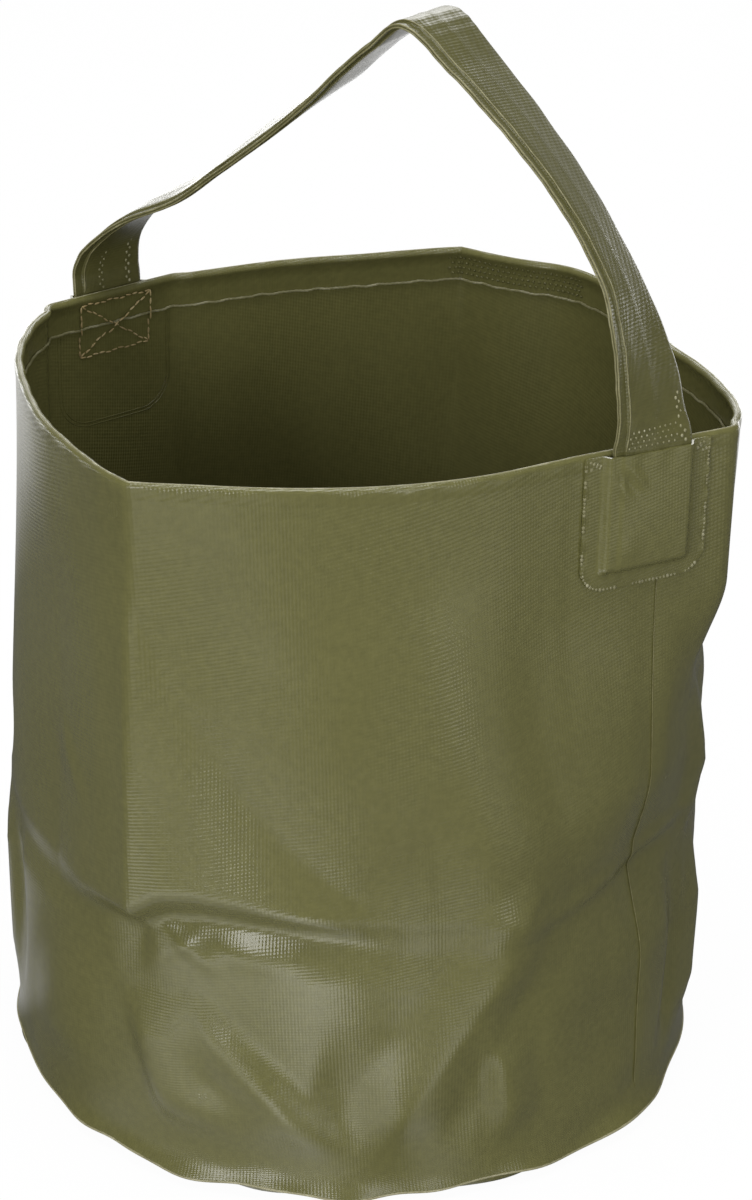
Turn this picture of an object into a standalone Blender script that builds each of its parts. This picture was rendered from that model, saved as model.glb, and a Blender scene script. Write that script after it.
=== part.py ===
"""Collapsible camp bucket of welded PVC-coated sheet, at rest with its handle up.

The origin is the centre of the base on the floor, +Z is up, and +X runs along the
handle's span towards the right strap root. All sizes are in metres.
"""

import math

import bmesh
import bpy
from mathutils import Matrix, Vector

# The sheet that the bucket is welded from, and the running gap between touching pieces
BUCKET_DIAMETER = 0.240
BUCKET_HEIGHT = 0.250
SHEET_THICKNESS = 0.0008
CLEARANCE = 0.0003

# The base disc, whose edge is turned up inside the wall
BASE_FLANGE_HEIGHT = 0.012
BASE_EDGE_RADIUS = 0.003

# The wall's top is folded in over a cord and welded
HEM_DEPTH = 0.012
CORD_DIAMETER = 0.0012
HEM_WRAP_DEG = 215.0

# The wall's two ends overlap in an upright weld under the right patch
SEAM_WIDTH = 0.015
SEAM_ANGLE_DEG = 3.0

# The handle is a webbing core in a sleeve of the same sheet
WEBBING_WIDTH = 0.025
WEBBING_THICKNESS = 0.0014
SLEEVE_FACE_THICKNESS = 0.0006
SLEEVE_EDGE_THICKNESS = 0.0012
STRAP_TAIL_LENGTH = 0.038
HANDLE_RISE = 0.118
RIM_TO_SWUNG_STRAP = 0.0005

# A patch is welded over each strap end
PATCH_BORDER = 0.009
PATCH_FOOT = 0.008
PATCH_CORNER_RADIUS = 0.009
PATCH_RAMP = 0.004
PATCH_TOP_DROP = 0.001

# The rim's outline: angle in degrees, and radius as a share of the round base's
RIM_OUTLINE_SHARES = (
    (-163.0, 0.988),
    (-150.0, 0.968),
    (-127.0, 0.938),
    (-106.0, 0.975),
    (-96.5, 1.010),
    (-89.3, 1.049),
    (-83.7, 1.077),
    (-74.2, 1.006),
    (-60.0, 0.947),
    (-45.0, 0.912),
    (-28.0, 0.889),
    (-16.0, 0.885),
    (0.0, 0.948),
    (13.0, 1.062),
    (20.0, 1.066),
    (31.0, 0.997),
    (41.0, 0.938),
    (50.0, 0.896),
    (60.0, 0.905),
    (71.0, 0.953),
    (83.0, 1.030),
    (92.0, 1.068),
    (101.0, 1.050),
    (106.5, 1.058),
    (112.6, 1.089),
    (122.0, 1.004),
    (131.0, 0.949),
    (150.0, 0.911),
    (161.0, 0.911),
    (180.0, 0.953),
)
STORAGE_CREASES_DEG = (-83.7, 112.6)

# Where the wall leaves the round base and where it has the rim's outline, as shares of height
WALL_BLEND_SHARES = (0.35, 1.0)
CORNER_BLEND_SHARES = (0.74, 1.0)
ROOT_INWARD_BLEND_SHARES = (0.42, 0.80)
ROOT_OUTWARD_BLEND_SHARES = (0.58, 0.79)
ROOT_FLAT_DEG = 12.5
ROOT_EASE_DEG = 17.0
ROOT_BLEND_EASE_DEG = (12.5, 38.0)
CORNER_EASE_DEG = (26.0, 40.0)

# The front facet: degrees, then its edge, brim and foot as shares of height, and its rise at the
# brim as a share of the base radius
WALL_FACET_SHARES = (
    (-106.0, 0.860, 0.400, 0.360, 0.0),
    (-95.0, 0.888, 0.408, 0.360, 0.030),
    (-84.5, 0.904, 0.416, 0.364, 0.077),
    (-80.0, 0.768, 0.452, 0.396, 0.065),
    (-75.0, 0.700, 0.464, 0.404, 0.057),
    (-68.0, 0.632, 0.464, 0.408, 0.047),
    (-62.0, 0.568, 0.448, 0.404, 0.035),
    (-55.0, 0.504, 0.428, 0.400, 0.020),
    (-46.0, 0.432, 0.408, 0.392, 0.0),
)

# Folds that flat storage left in the wall: points of degrees, share of height, and rise as a share
# of the base radius, then the reach to the left and to the right of that run, as shares of it too
WALL_FOLD_SHARES = (
    (((-90, 0.352, 0.0), (-82, 0.392, -0.013), (-75, 0.408, -0.022), (-62, 0.404, -0.028),
      (-43, 0.388, -0.013), (-26, 0.378, -0.018), (-18, 0.380, 0.0)), 0.070, 0.150),
    (((-27, 0.376, 0.0), (-16, 0.382, -0.022), (-8, 0.388, -0.043), (0, 0.394, -0.063),
      (5, 0.396, -0.068), (13, 0.396, -0.047), (22, 0.388, -0.025), (34, 0.352, 0.0)), 0.300, 0.300),
    (((-86, 0.272, 0.0), (-84, 0.208, 0.022), (-80, 0.112, 0.027), (-68, 0.068, 0.022),
      (-56, 0.052, 0.005)), 0.170, 0.100),
    (((-79, 0.288, 0.0), (-72, 0.224, 0.020), (-64, 0.160, 0.028), (-56, 0.072, 0.027)), 0.110, 0.135),
    (((-36, 0.864, 0.0), (-31, 0.660, 0.017), (-27, 0.520, 0.027), (-25, 0.392, 0.030),
      (-25, 0.368, 0.020)), 0.200, 0.200),
    (((-25, 0.380, 0.028), (-31, 0.296, 0.028), (-37, 0.216, 0.025), (-44, 0.112, 0.020)), 0.140, 0.165),
    (((-31, 0.280, 0.0), (-27, 0.192, 0.025), (-25, 0.112, 0.027)), 0.135, 0.075),
    (((15, 0.744, 0.0), (19, 0.600, 0.022), (22, 0.488, 0.037), (24, 0.408, 0.020)), 0.080, 0.090),
    (((24, 0.688, 0.0), (28, 0.584, -0.022), (31, 0.472, -0.028), (31, 0.392, 0.0)), 0.080, 0.080),
    (((27, 0.368, 0.0), (26, 0.264, 0.030), (25, 0.144, 0.028)), 0.080, 0.090),
    (((16, 0.336, -0.008), (17, 0.240, -0.028), (16, 0.144, -0.030)), 0.080, 0.085),
    (((-138, 0.432, 0.0), (-135, 0.304, 0.022), (-136, 0.136, 0.017)), 0.085, 0.115),
    (((34, 0.352, 0.0), (58, 0.372, -0.023), (84, 0.400, -0.032), (108, 0.388, -0.025),
      (113, 0.380, 0.0)), 0.120, 0.165),
    (((113, 0.384, 0.0), (128, 0.412, -0.028), (152, 0.404, -0.032), (176, 0.384, -0.020),
      (-162, 0.404, -0.028), (-142, 0.388, 0.0)), 0.100, 0.165),
    (((112.8, 0.944, 0.0), (113, 0.760, 0.018), (113.4, 0.560, 0.033), (113, 0.408, 0.025),
      (113, 0.368, 0.0)), 0.150, 0.150),
    (((114, 0.368, 0.0), (118, 0.264, 0.023), (128, 0.136, 0.022)), 0.135, 0.115),
    (((96, 0.368, 0.0), (90, 0.240, 0.022), (95, 0.112, 0.020)), 0.125, 0.140),
    (((58, 0.344, 0.0), (52, 0.232, 0.022), (56, 0.104, 0.018)), 0.135, 0.125),
    (((152, 0.840, 0.0), (146, 0.640, 0.017), (142, 0.500, 0.025), (144, 0.416, 0.008)), 0.165, 0.180),
    (((164, 0.368, 0.0), (168, 0.240, 0.022), (160, 0.104, 0.020)), 0.135, 0.115),
)

# Soft dents: degrees and share of height, half sizes the same way, and rise as a share of the radius
WALL_DENT_SHARES = (
    ((-112.0, 0.640), (22.0, 0.380), -0.022),
    ((-6.0, 0.200), (13.0, 0.170), -0.018),
    ((-128.0, 0.248), (8.0, 0.176), -0.030),
    ((-141.0, 0.488), (12.0, 0.072), -0.025),
    ((86.0, 0.660), (16.0, 0.240), -0.022),
    ((-160.0, 0.240), (14.0, 0.136), 0.018),
)

# Between these shares of height the folds start at the foot, and end below the hem
FOLD_FOOT_SHARES = (0.055, 0.140)
FOLD_HEAD_SHARES = (0.790, 0.940)

# Each strap root: its angle round the rim, the way its flat faces, and its distance out as a share
ROOT_SHARES = {
    "left": (180.0, 170.5, 0.946),
    "right": (0.0, -22.7, 0.948),
}

# The handle from left root to right: share of span, share of rise, and roll in degrees
HANDLE_PATH_SHARES = (
    (-0.001, 0.072, -10.0),
    (0.019, 0.165, 2.0),
    (0.082, 0.275, 9.0),
    (0.183, 0.382, 13.0),
    (0.259, 0.499, 17.0),
    (0.326, 0.596, 17.0),
    (0.387, 0.682, 14.0),
    (0.443, 0.764, 9.0),
    (0.489, 0.847, 8.0),
    (0.543, 0.931, 6.0),
    (0.607, 1.000, 0.0),
    (0.690, 0.893, -6.0),
    (0.762, 0.784, -10.0),
    (0.826, 0.675, -13.0),
    (0.880, 0.564, -15.0),
    (0.926, 0.445, -15.0),
    (0.951, 0.356, -10.0),
    (0.979, 0.216, 2.0),
    (0.995, 0.076, 12.0),
)

# How finely each form is divided
RIM_SEGMENTS = 96
WALL_ROW_SHARES = (
    0.033, 0.069, 0.113, 0.157, 0.202, 0.246, 0.291, 0.327, 0.353, 0.371, 0.389,
    0.407, 0.433, 0.469, 0.513, 0.567, 0.620, 0.682, 0.745, 0.807, 0.869, 0.932,
)
SEAM_EDGE_DEG = 0.1
EDGE_ARC_STEPS = 3
HEM_ARC_STEPS = 6
CORD_SIDES = 6
PATCH_FOOT_ROW_SHARES = (0.5, 0.85, 1.0)
PATH_STEPS = 8
HANDLE_STATIONS = 36
ROOT_STATIONS = 8
STRAP_EDGE_STEPS = 4

# Colours and surface values of the sheet, the webbing and the cord
SHEET_COLOUR = (0.125, 0.122, 0.050, 1.0)
BASE_COLOUR = (0.115, 0.112, 0.046, 1.0)
WEBBING_COLOUR = (0.100, 0.085, 0.040, 1.0)
CORD_COLOUR = (0.300, 0.300, 0.270, 1.0)

BASE_RADIUS = BUCKET_DIAMETER / 2
HEM_ROLL_INNER = CORD_DIAMETER / 2 + CLEARANCE
HEM_ROLL_OUTER = HEM_ROLL_INNER + SHEET_THICKNESS
HEM_ROLL_HEIGHT = BUCKET_HEIGHT - HEM_ROLL_OUTER
STRAP_THICKNESS = WEBBING_THICKNESS + 2 * (CLEARANCE + SLEEVE_FACE_THICKNESS)
STRAP_WIDTH = WEBBING_WIDTH + 2 * (CLEARANCE + SLEEVE_EDGE_THICKNESS)
HANDLE_PIVOT_HEIGHT = BUCKET_HEIGHT + STRAP_WIDTH / 2 + RIM_TO_SWUNG_STRAP
PATCH_WIDTH = STRAP_WIDTH + 2 * PATCH_BORDER
PATCH_HEIGHT = STRAP_TAIL_LENGTH + PATCH_FOOT - PATCH_TOP_DROP


def eased(value, start, end):
    """0 before start, 1 after end, and a smooth turn between them."""
    t = min(max((value - start) / (end - start), 0.0), 1.0)
    return t * t * (3 - 2 * t)


def turn_between(a, b):
    """The angle from a to b in degrees, between -180 and 180."""
    return (b - a + 180.0) % 360.0 - 180.0


def table_share(angle):
    """The rim outline's share at an angle: smooth between its points and sharp at a storage crease."""
    table = RIM_OUTLINE_SHARES
    count = len(table)
    for i in range(count):
        start, end = table[i], table[(i + 1) % count]
        span = (end[0] - start[0]) % 360.0
        along = (angle - start[0]) % 360.0
        if along <= span:
            break
    before, after = table[i - 1], table[(i + 2) % count]
    secant = (end[1] - start[1]) / span
    slope_in = (end[1] - before[1]) / ((end[0] - before[0]) % 360.0)
    slope_out = (after[1] - start[1]) / ((after[0] - start[0]) % 360.0)
    if start[0] in STORAGE_CREASES_DEG:
        slope_in = secant
    if end[0] in STORAGE_CREASES_DEG:
        slope_out = secant
    t = along / span
    rise = end[1] - start[1]
    return (
        start[1]
        + rise * t * t * (3 - 2 * t)
        + span * t * (1 - t) * (slope_in * (1 - t) - slope_out * t)
    )


def root_weight(angle, root):
    """1 on the flat at a strap root, easing to 0 beside it."""
    return 1.0 - eased(abs(turn_between(root[0], angle)), ROOT_FLAT_DEG, ROOT_EASE_DEG)


def rim_share(angle):
    """The rim's radius share at an angle, straight across each strap root."""
    share = table_share(angle)
    for root in ROOT_SHARES.values():
        weight = root_weight(angle, root)
        if weight > 0.0:
            lean = math.radians(root[1] - root[0])
            off = math.radians(turn_between(root[0], angle))
            flat = root[2] * math.cos(lean) / math.cos(off - lean)
            share += weight * (flat - share)
    return share


def wall_radius(angle, height):
    """The wall's outer radius: round at the base, the rim's outline at the top, flat at a root."""
    level = height / BUCKET_HEIGHT
    bulge = rim_share(angle) - 1.0
    follows = eased(level, *WALL_BLEND_SHARES)
    for root in ROOT_SHARES.values():
        if bulge > 0.0:
            near = 1.0 - eased(abs(turn_between(root[0], angle)), *CORNER_EASE_DEG)
            follows += near * (eased(level, *CORNER_BLEND_SHARES) - follows)
        at_root = eased(level, *(ROOT_OUTWARD_BLEND_SHARES if bulge > 0.0 else ROOT_INWARD_BLEND_SHARES))
        beside = 1.0 - eased(abs(turn_between(root[0], angle)), *ROOT_BLEND_EASE_DEG)
        follows += beside * (at_root - follows)
    return BASE_RADIUS * (1.0 + bulge * follows + folds_share(angle, level))


def folds_share(angle, level):
    """How far the wall's folds move it outwards, as a share of the base radius."""
    if not FOLD_FOOT_SHARES[0] < level < FOLD_HEAD_SHARES[1]:
        return 0.0
    free = eased(level, *FOLD_FOOT_SHARES) * (1.0 - eased(level, *FOLD_HEAD_SHARES))
    folded = sum(fold_share(angle, level, *fold) for fold in WALL_FOLD_SHARES)
    dented = sum(dent_share(angle, level, *dent) for dent in WALL_DENT_SHARES)
    return free * (facet_share(angle, level) + folded + dented)


def facet_share(angle, level):
    """The flat facet beside the front crease: it leans out downwards and turns in under a brim."""
    rows = WALL_FACET_SHARES
    if not rows[0][0] < angle < rows[-1][0]:
        return 0.0
    for start, end in zip(rows, rows[1:]):
        if start[0] <= angle <= end[0]:
            break
    t = (angle - start[0]) / (end[0] - start[0])
    edge, brim, foot, rise = (a + t * (b - a) for a, b in zip(start[1:], end[1:]))
    if level > brim:
        return rise * min(max((edge - level) / (edge - brim), 0.0), 1.0)
    return rise * eased(level, foot, brim)


def fold_share(angle, level, run, left, right):
    """One fold's move outwards: flanks that fall from a line to nothing at its reach."""
    centre = run[len(run) // 2][0]
    here = (math.radians(turn_between(centre, angle)), level * BUCKET_HEIGHT / BASE_RADIUS)
    nearest, move = None, 0.0
    for start, end in zip(run, run[1:]):
        a = (math.radians(turn_between(centre, start[0])), start[1] * BUCKET_HEIGHT / BASE_RADIUS)
        b = (math.radians(turn_between(centre, end[0])), end[1] * BUCKET_HEIGHT / BASE_RADIUS)
        way = (b[0] - a[0], b[1] - a[1])
        t = ((here[0] - a[0]) * way[0] + (here[1] - a[1]) * way[1]) / (way[0] ** 2 + way[1] ** 2)
        t = min(max(t, 0.0), 1.0)
        off = (here[0] - a[0] - t * way[0], here[1] - a[1] - t * way[1])
        distance = math.hypot(*off)
        if nearest is None or distance < nearest:
            nearest = distance
            reach = left if way[0] * off[1] - way[1] * off[0] > 0 else right
            share = min(distance / reach, 1.0)
            flank = (1.0 - share) ** 2 * (1.0 + share + share * share)
            move = (start[2] + t * (end[2] - start[2])) * flank
    return move


def dent_share(angle, level, place, reach, rise):
    """One soft dent's move outwards."""
    off = (turn_between(place[0], angle) / reach[0]) ** 2 + ((level - place[1]) / reach[1]) ** 2
    return rise * max(1.0 - off, 0.0) ** 2


def wall_xy(angle, height):
    """A point of the wall's outer face, without its height."""
    radius = wall_radius(angle, height)
    return Vector((radius * math.cos(math.radians(angle)), radius * math.sin(math.radians(angle)), 0.0))


def wall_point(angle, height, outward=0.0):
    """A point off the wall's outer face, along the face's level normal."""
    step = 360.0 / RIM_SEGMENTS
    along = (wall_xy(angle + step, height) - wall_xy(angle - step, height)).normalized()
    normal = Vector((along.y, -along.x, 0.0))
    point = wall_xy(angle, height) + normal * outward
    point.z = height
    return point


def rim_angles():
    """Angles round the rim, with a point on each storage crease and two at each seam edge."""
    first, second = STORAGE_CREASES_DEG
    count = round(RIM_SEGMENTS * (second - first) / 360.0)
    front = [first + (second - first) * i / count for i in range(count)]
    rest = RIM_SEGMENTS - count
    back = [second + (360.0 + first - second) * i / rest for i in range(rest)]
    edges = []
    for edge in (SEAM_ANGLE_DEG, SEAM_ANGLE_DEG + seam_turn()):
        edges += [edge - SEAM_EDGE_DEG, edge + SEAM_EDGE_DEG]
    step = 360.0 / RIM_SEGMENTS
    kept = [a for a in front + back if min(abs(turn_between(a, edge)) for edge in edges) > step / 4]
    return sorted(kept + edges)


def seam_turn():
    """The angle that the seam's overlap takes up, in degrees."""
    return math.degrees(SEAM_WIDTH / BASE_RADIUS)


def arc(centre, radius, start, end, steps):
    """Points (out, up) on an arc, with its angles in degrees."""
    angles = [math.radians(start + (end - start) * i / steps) for i in range(steps + 1)]
    return [(centre[0] + radius * math.cos(a), centre[1] + radius * math.sin(a)) for a in angles]


def material(name, colour, roughness):
    """A plain Principled material."""
    made = bpy.data.materials.new(name)
    made.use_nodes = True
    shader = made.node_tree.nodes["Principled BSDF"]
    shader.inputs["Base Color"].default_value = colour
    shader.inputs["Roughness"].default_value = roughness
    shader.inputs["Metallic"].default_value = 0.0
    return made


def carrier(name, location, parent=None):
    """An empty that carries the pieces of one moving body, on that body's joint."""
    empty = bpy.data.objects.new(name, None)
    bpy.context.scene.collection.objects.link(empty)
    empty.parent = parent
    empty.location = Vector(location) - (parent.matrix_world.translation if parent else Vector())
    bpy.context.view_layer.update()
    return empty


def finish(name, form, carried_by, colour, roughness):
    """Turns a bmesh in world places into an object on its carrier."""
    bmesh.ops.recalc_face_normals(form, faces=form.faces)
    mesh = bpy.data.meshes.new(name)
    form.to_mesh(mesh)
    form.free()
    mesh.transform(Matrix.Translation(-carried_by.matrix_world.translation))
    mesh.shade_smooth()
    mesh.set_sharp_from_angle(angle=math.radians(40))
    mesh.materials.append(material(name, colour, roughness))
    made = bpy.data.objects.new(name, mesh)
    bpy.context.scene.collection.objects.link(made)
    made.parent = carried_by
    return made


def skin(form, rings, closed):
    """Joins rings of as many points each with quads, and the last ring to the first if closed."""
    loops = [[form.verts.new(point) for point in ring] for ring in rings]
    pairs = list(zip(loops, loops[1:]))
    if closed:
        pairs.append((loops[-1], loops[0]))
    for near, far in pairs:
        count = len(near)
        for i in range(count):
            j = (i + 1) % count
            form.faces.new((near[i], near[j], far[j], far[i]))
    return loops


def ring_sweep(profile_at):
    """Sweeps a closed profile round the rim. profile_at gives its points at an angle."""
    form = bmesh.new()
    skin(form, [profile_at(angle) for angle in rim_angles()], closed=True)
    return form


def base_disc(carried_by):
    """The round floor with its edge turned up, welded inside the wall's foot."""
    outside = BASE_RADIUS - SHEET_THICKNESS - CLEARANCE
    turn = (outside - BASE_EDGE_RADIUS, BASE_EDGE_RADIUS)
    outer = arc(turn, BASE_EDGE_RADIUS, -90, 0, EDGE_ARC_STEPS)
    inner = arc(turn, BASE_EDGE_RADIUS - SHEET_THICKNESS, 0, -90, EDGE_ARC_STEPS)
    top = [(outside, BASE_FLANGE_HEIGHT), (outside - SHEET_THICKNESS, BASE_FLANGE_HEIGHT)]
    form = bmesh.new()
    rings = []
    for radius, height in outer + top + inner:
        turned = [math.radians(angle) for angle in rim_angles()]
        rings.append([Vector((radius * math.cos(a), radius * math.sin(a), height)) for a in turned])
    loops = skin(form, rings, closed=False)
    for loop, height in ((loops[0], 0.0), (loops[-1], SHEET_THICKNESS)):
        middle = form.verts.new((0.0, 0.0, height))
        for i, vertex in enumerate(loop):
            form.faces.new((vertex, loop[(i + 1) % len(loop)], middle))
    return finish("base_disc", form, carried_by, BASE_COLOUR, 0.45)


def seam_extra(angle, height):
    """How much thicker the wall is inwards where its ends overlap, between base weld and hem."""
    half_turn = seam_turn() / 2
    off = abs(turn_between(SEAM_ANGLE_DEG + half_turn, angle))
    low, high = seam_ends()
    between = low - CLEARANCE / 2 < height < high + CLEARANCE / 2
    return SHEET_THICKNESS if off < half_turn and between else 0.0


def seam_ends():
    """The heights between which the overlap can be seen from inside."""
    return BASE_FLANGE_HEIGHT + 2 * CLEARANCE, BUCKET_HEIGHT - HEM_DEPTH - 2 * CLEARANCE


def wall_panel(carried_by):
    """The wall: one sheet rolled round, from the base's turned edge up to the hem's roll."""
    foot = BASE_EDGE_RADIUS
    head = HEM_ROLL_HEIGHT - CLEARANCE
    low, high = seam_ends()
    between = [low + (high - low) * share for share in WALL_ROW_SHARES]
    heights = [foot, low - CLEARANCE, low] + between + [high, high + CLEARANCE, head]

    def profile(angle):
        outer = [wall_point(angle, height) for height in heights]
        inner = [
            wall_point(angle, height, -SHEET_THICKNESS - seam_extra(angle, height))
            for height in reversed(heights)
        ]
        return outer + inner

    return finish("wall_panel", ring_sweep(profile), carried_by, SHEET_COLOUR, 0.42)


def hem_profile():
    """The hem's section as (out, up): a roll round the cord, then a flap down inside the wall."""
    centre = (-HEM_ROLL_OUTER, HEM_ROLL_HEIGHT)
    outer = arc(centre, HEM_ROLL_OUTER, 0, HEM_WRAP_DEG, HEM_ARC_STEPS)
    inner = arc(centre, HEM_ROLL_INNER, HEM_WRAP_DEG, 0, HEM_ARC_STEPS)
    flap_outer = -SHEET_THICKNESS - CLEARANCE
    flap_inner = flap_outer - SHEET_THICKNESS
    lean = math.radians(HEM_WRAP_DEG)
    drop = -math.cos(lean) / math.sin(lean)

    def meets(point, out):
        return (out, point[1] + (out - point[0]) * drop)

    end = BUCKET_HEIGHT - HEM_DEPTH
    flap = [meets(outer[-1], flap_inner), (flap_inner, end), (flap_outer, end), meets(inner[0], flap_outer)]
    return outer + flap + inner


def rim_hem(carried_by):
    """The folded top of the wall sheet."""
    section = hem_profile()
    form = ring_sweep(lambda angle: [wall_point_at_rim(angle, out, up) for out, up in section])
    return finish("rim_hem", form, carried_by, SHEET_COLOUR, 0.42)


def wall_point_at_rim(angle, out, up):
    """A point near the rim: the wall's place at that height, but the rim's own above the wall."""
    point = wall_point(angle, min(up, BUCKET_HEIGHT), out)
    point.z = up
    return point


def rim_cord(carried_by):
    """The cord that the hem's roll is folded over."""
    ring = arc((-HEM_ROLL_OUTER, HEM_ROLL_HEIGHT), CORD_DIAMETER / 2, 0, 360, CORD_SIDES)[:-1]
    form = ring_sweep(lambda angle: [wall_point_at_rim(angle, out, up) for out, up in ring])
    return finish("rim_cord", form, carried_by, CORD_COLOUR, 0.6)


def root_frame(side):
    """A strap root: its place on the wall's face at y 0, the way along the rim and the way out."""
    angle, facing, share = ROOT_SHARES[side]
    out = Vector((math.cos(math.radians(facing)), math.sin(math.radians(facing)), 0.0))
    along = Vector((-out.y, out.x, 0.0))
    place = Vector((BASE_RADIUS * share * math.cos(math.radians(angle)), 0.0, 0.0))
    return place, along, out


def strap_root_x(side):
    """Where the strap's middle line stands at a root, clear of the wall's face."""
    place, _, out = root_frame(side)
    return place.x + (CLEARANCE + STRAP_THICKNESS / 2) / out.x


def root_roll(side):
    """The strap's roll at a root, in degrees, which lays it flat on the wall."""
    angle, facing, _ = ROOT_SHARES[side]
    return facing - angle if side == "left" else angle - facing


def patch_lines():
    """Where a patch is divided: lines across it from its middle, and lines down from its top."""
    edge = STRAP_WIDTH / 2 + CLEARANCE
    half = [edge / 2, edge, edge + PATCH_RAMP / 2, edge + PATCH_RAMP, PATCH_WIDTH / 2]
    across = [-a for a in reversed(half)] + [0.0] + half
    end = STRAP_TAIL_LENGTH - PATCH_TOP_DROP + CLEARANCE
    ramp = [end, end + PATCH_RAMP / 2, end + PATCH_RAMP]
    foot = [ramp[-1] + (PATCH_HEIGHT - ramp[-1]) * share for share in PATCH_FOOT_ROW_SHARES]
    return across, [0.0, end / 3, end * 2 / 3] + ramp + foot


def patch(side, carried_by):
    """The patch welded over a strap end: flat border, rounded foot and a raised middle."""
    place, along, out = root_frame(side)
    middle = place + along * ((strap_root_x(side) - place.x) * along.x)
    across, down = patch_lines()
    strap_edge = STRAP_WIDTH / 2 + CLEARANCE
    strap_end = STRAP_TAIL_LENGTH - PATCH_TOP_DROP + CLEARANCE

    def row(below, lift):
        reach = max(below - (PATCH_HEIGHT - PATCH_CORNER_RADIUS), 0.0)
        round_in = PATCH_CORNER_RADIUS - math.sqrt(max(PATCH_CORNER_RADIUS**2 - reach**2, 0.0))
        narrowed = 1.0 - 2 * round_in / PATCH_WIDTH
        points = []
        for line in across:
            over = 1.0 - eased(abs(line), strap_edge, strap_edge + PATCH_RAMP)
            over *= 1.0 - eased(below, strap_end, strap_end + PATCH_RAMP)
            rise = CLEARANCE + (STRAP_THICKNESS + CLEARANCE) * over + lift
            point = middle + along * line * narrowed + out * rise
            point.z = BUCKET_HEIGHT - PATCH_TOP_DROP - below
            points.append(point)
        return points

    form = bmesh.new()
    rings = [row(below, 0.0) + row(below, SHEET_THICKNESS)[::-1] for below in down]
    loops = skin(form, rings, closed=False)
    for loop in (loops[0], loops[-1]):
        last = len(loop) - 1
        for i in range(len(across) - 1):
            form.faces.new((loop[i], loop[i + 1], loop[last - i - 1], loop[last - i]))
    return finish(f"{side}_patch", form, carried_by, SHEET_COLOUR, 0.42)


def strap_route():
    """The whole strap's middle line from tail end to tail end, as (x, z, roll)."""
    left, right = strap_root_x("left"), strap_root_x("right")
    tail_end = BUCKET_HEIGHT - STRAP_TAIL_LENGTH
    tail_mid = BUCKET_HEIGHT - STRAP_TAIL_LENGTH / 2
    arch = [
        (left + share * (right - left), BUCKET_HEIGHT + rise * HANDLE_RISE, roll)
        for share, rise, roll in HANDLE_PATH_SHARES
    ]
    left_tail = [(left, height, root_roll("left")) for height in (tail_end, tail_mid, BUCKET_HEIGHT)]
    right_tail = [(right, height, root_roll("right")) for height in (BUCKET_HEIGHT, tail_mid, tail_end)]
    return left_tail + arch + right_tail


def smoothed(route):
    """A Catmull-Rom curve through the route's points, each a Vector of x, z and roll."""
    points = [Vector(point) for point in route]
    fine = []
    for i in range(len(points) - 1):
        a, b = points[i], points[i + 1]
        before = points[i - 1] if i else a * 2 - b
        after = points[i + 2] if i + 2 < len(points) else b * 2 - a
        for step in range(PATH_STEPS):
            t = step / PATH_STEPS
            fine.append(
                (
                    a * 2
                    + (b - before) * t
                    + (before * 2 - a * 5 + b * 4 - after) * t * t
                    + (a * 3 - before - b * 3 + after) * t * t * t
                )
                / 2
            )
    fine.append(points[-1])
    return fine


def lengths_along(fine):
    """The running length at each point of the middle line."""
    total, found = 0.0, [0.0]
    for a, b in zip(fine, fine[1:]):
        total += math.hypot(b.x - a.x, b.y - a.y)
        found.append(total)
    return found


def at_length(fine, lengths, wanted):
    """The point of the middle line at a running length."""
    for i in range(1, len(fine)):
        if lengths[i] >= wanted or i == len(fine) - 1:
            t = (wanted - lengths[i - 1]) / (lengths[i] - lengths[i - 1])
            return fine[i - 1].lerp(fine[i], t)
    return fine[-1]


def strap_cuts(fine, lengths):
    """The running lengths at which each leg passes the height of the handle's hinge."""
    crossings = []
    for i in range(1, len(fine)):
        low, high = sorted((fine[i - 1].y, fine[i].y))
        if low < HANDLE_PIVOT_HEIGHT <= high:
            t = (HANDLE_PIVOT_HEIGHT - fine[i - 1].y) / (fine[i].y - fine[i - 1].y)
            crossings.append(lengths[i - 1] + t * (lengths[i] - lengths[i - 1]))
    return crossings[0], crossings[-1]


def strap_section(fine, lengths, at, section):
    """The section's points at a running length, as a ring in space."""
    step = STRAP_THICKNESS / 2
    here = at_length(fine, lengths, at)
    back = at_length(fine, lengths, max(at - step, 0.0))
    ahead = at_length(fine, lengths, min(at + step, lengths[-1]))
    way = Vector((ahead.x - back.x, 0.0, ahead.y - back.y)).normalized()
    above = Vector((-way.z, 0.0, way.x))
    roll = math.radians(here.z)
    across = Vector((0.0, math.cos(roll), 0.0)) + above * math.sin(roll)
    thick = above * math.cos(roll) - Vector((0.0, math.sin(roll), 0.0))
    middle = Vector((here.x, 0.0, here.y))
    return [middle + across * a + thick * b for a, b in section]


def sleeve_outside():
    """The sleeve's outer section: a flat band with rounded edges."""
    radius = STRAP_THICKNESS / 2
    centre = STRAP_WIDTH / 2 - radius
    right = arc((centre, 0.0), radius, -90, 90, STRAP_EDGE_STEPS)
    return right + [(-a, -b) for a, b in right]


def sleeve_inside():
    """The sleeve's hollow: the webbing's section with clearance, with as many points as the outside."""
    half = WEBBING_WIDTH / 2 + CLEARANCE
    rise = WEBBING_THICKNESS / 2 + CLEARANCE
    right = [(half, rise * (2 * i / STRAP_EDGE_STEPS - 1)) for i in range(STRAP_EDGE_STEPS + 1)]
    return right + [(-a, -b) for a, b in right]


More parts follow.
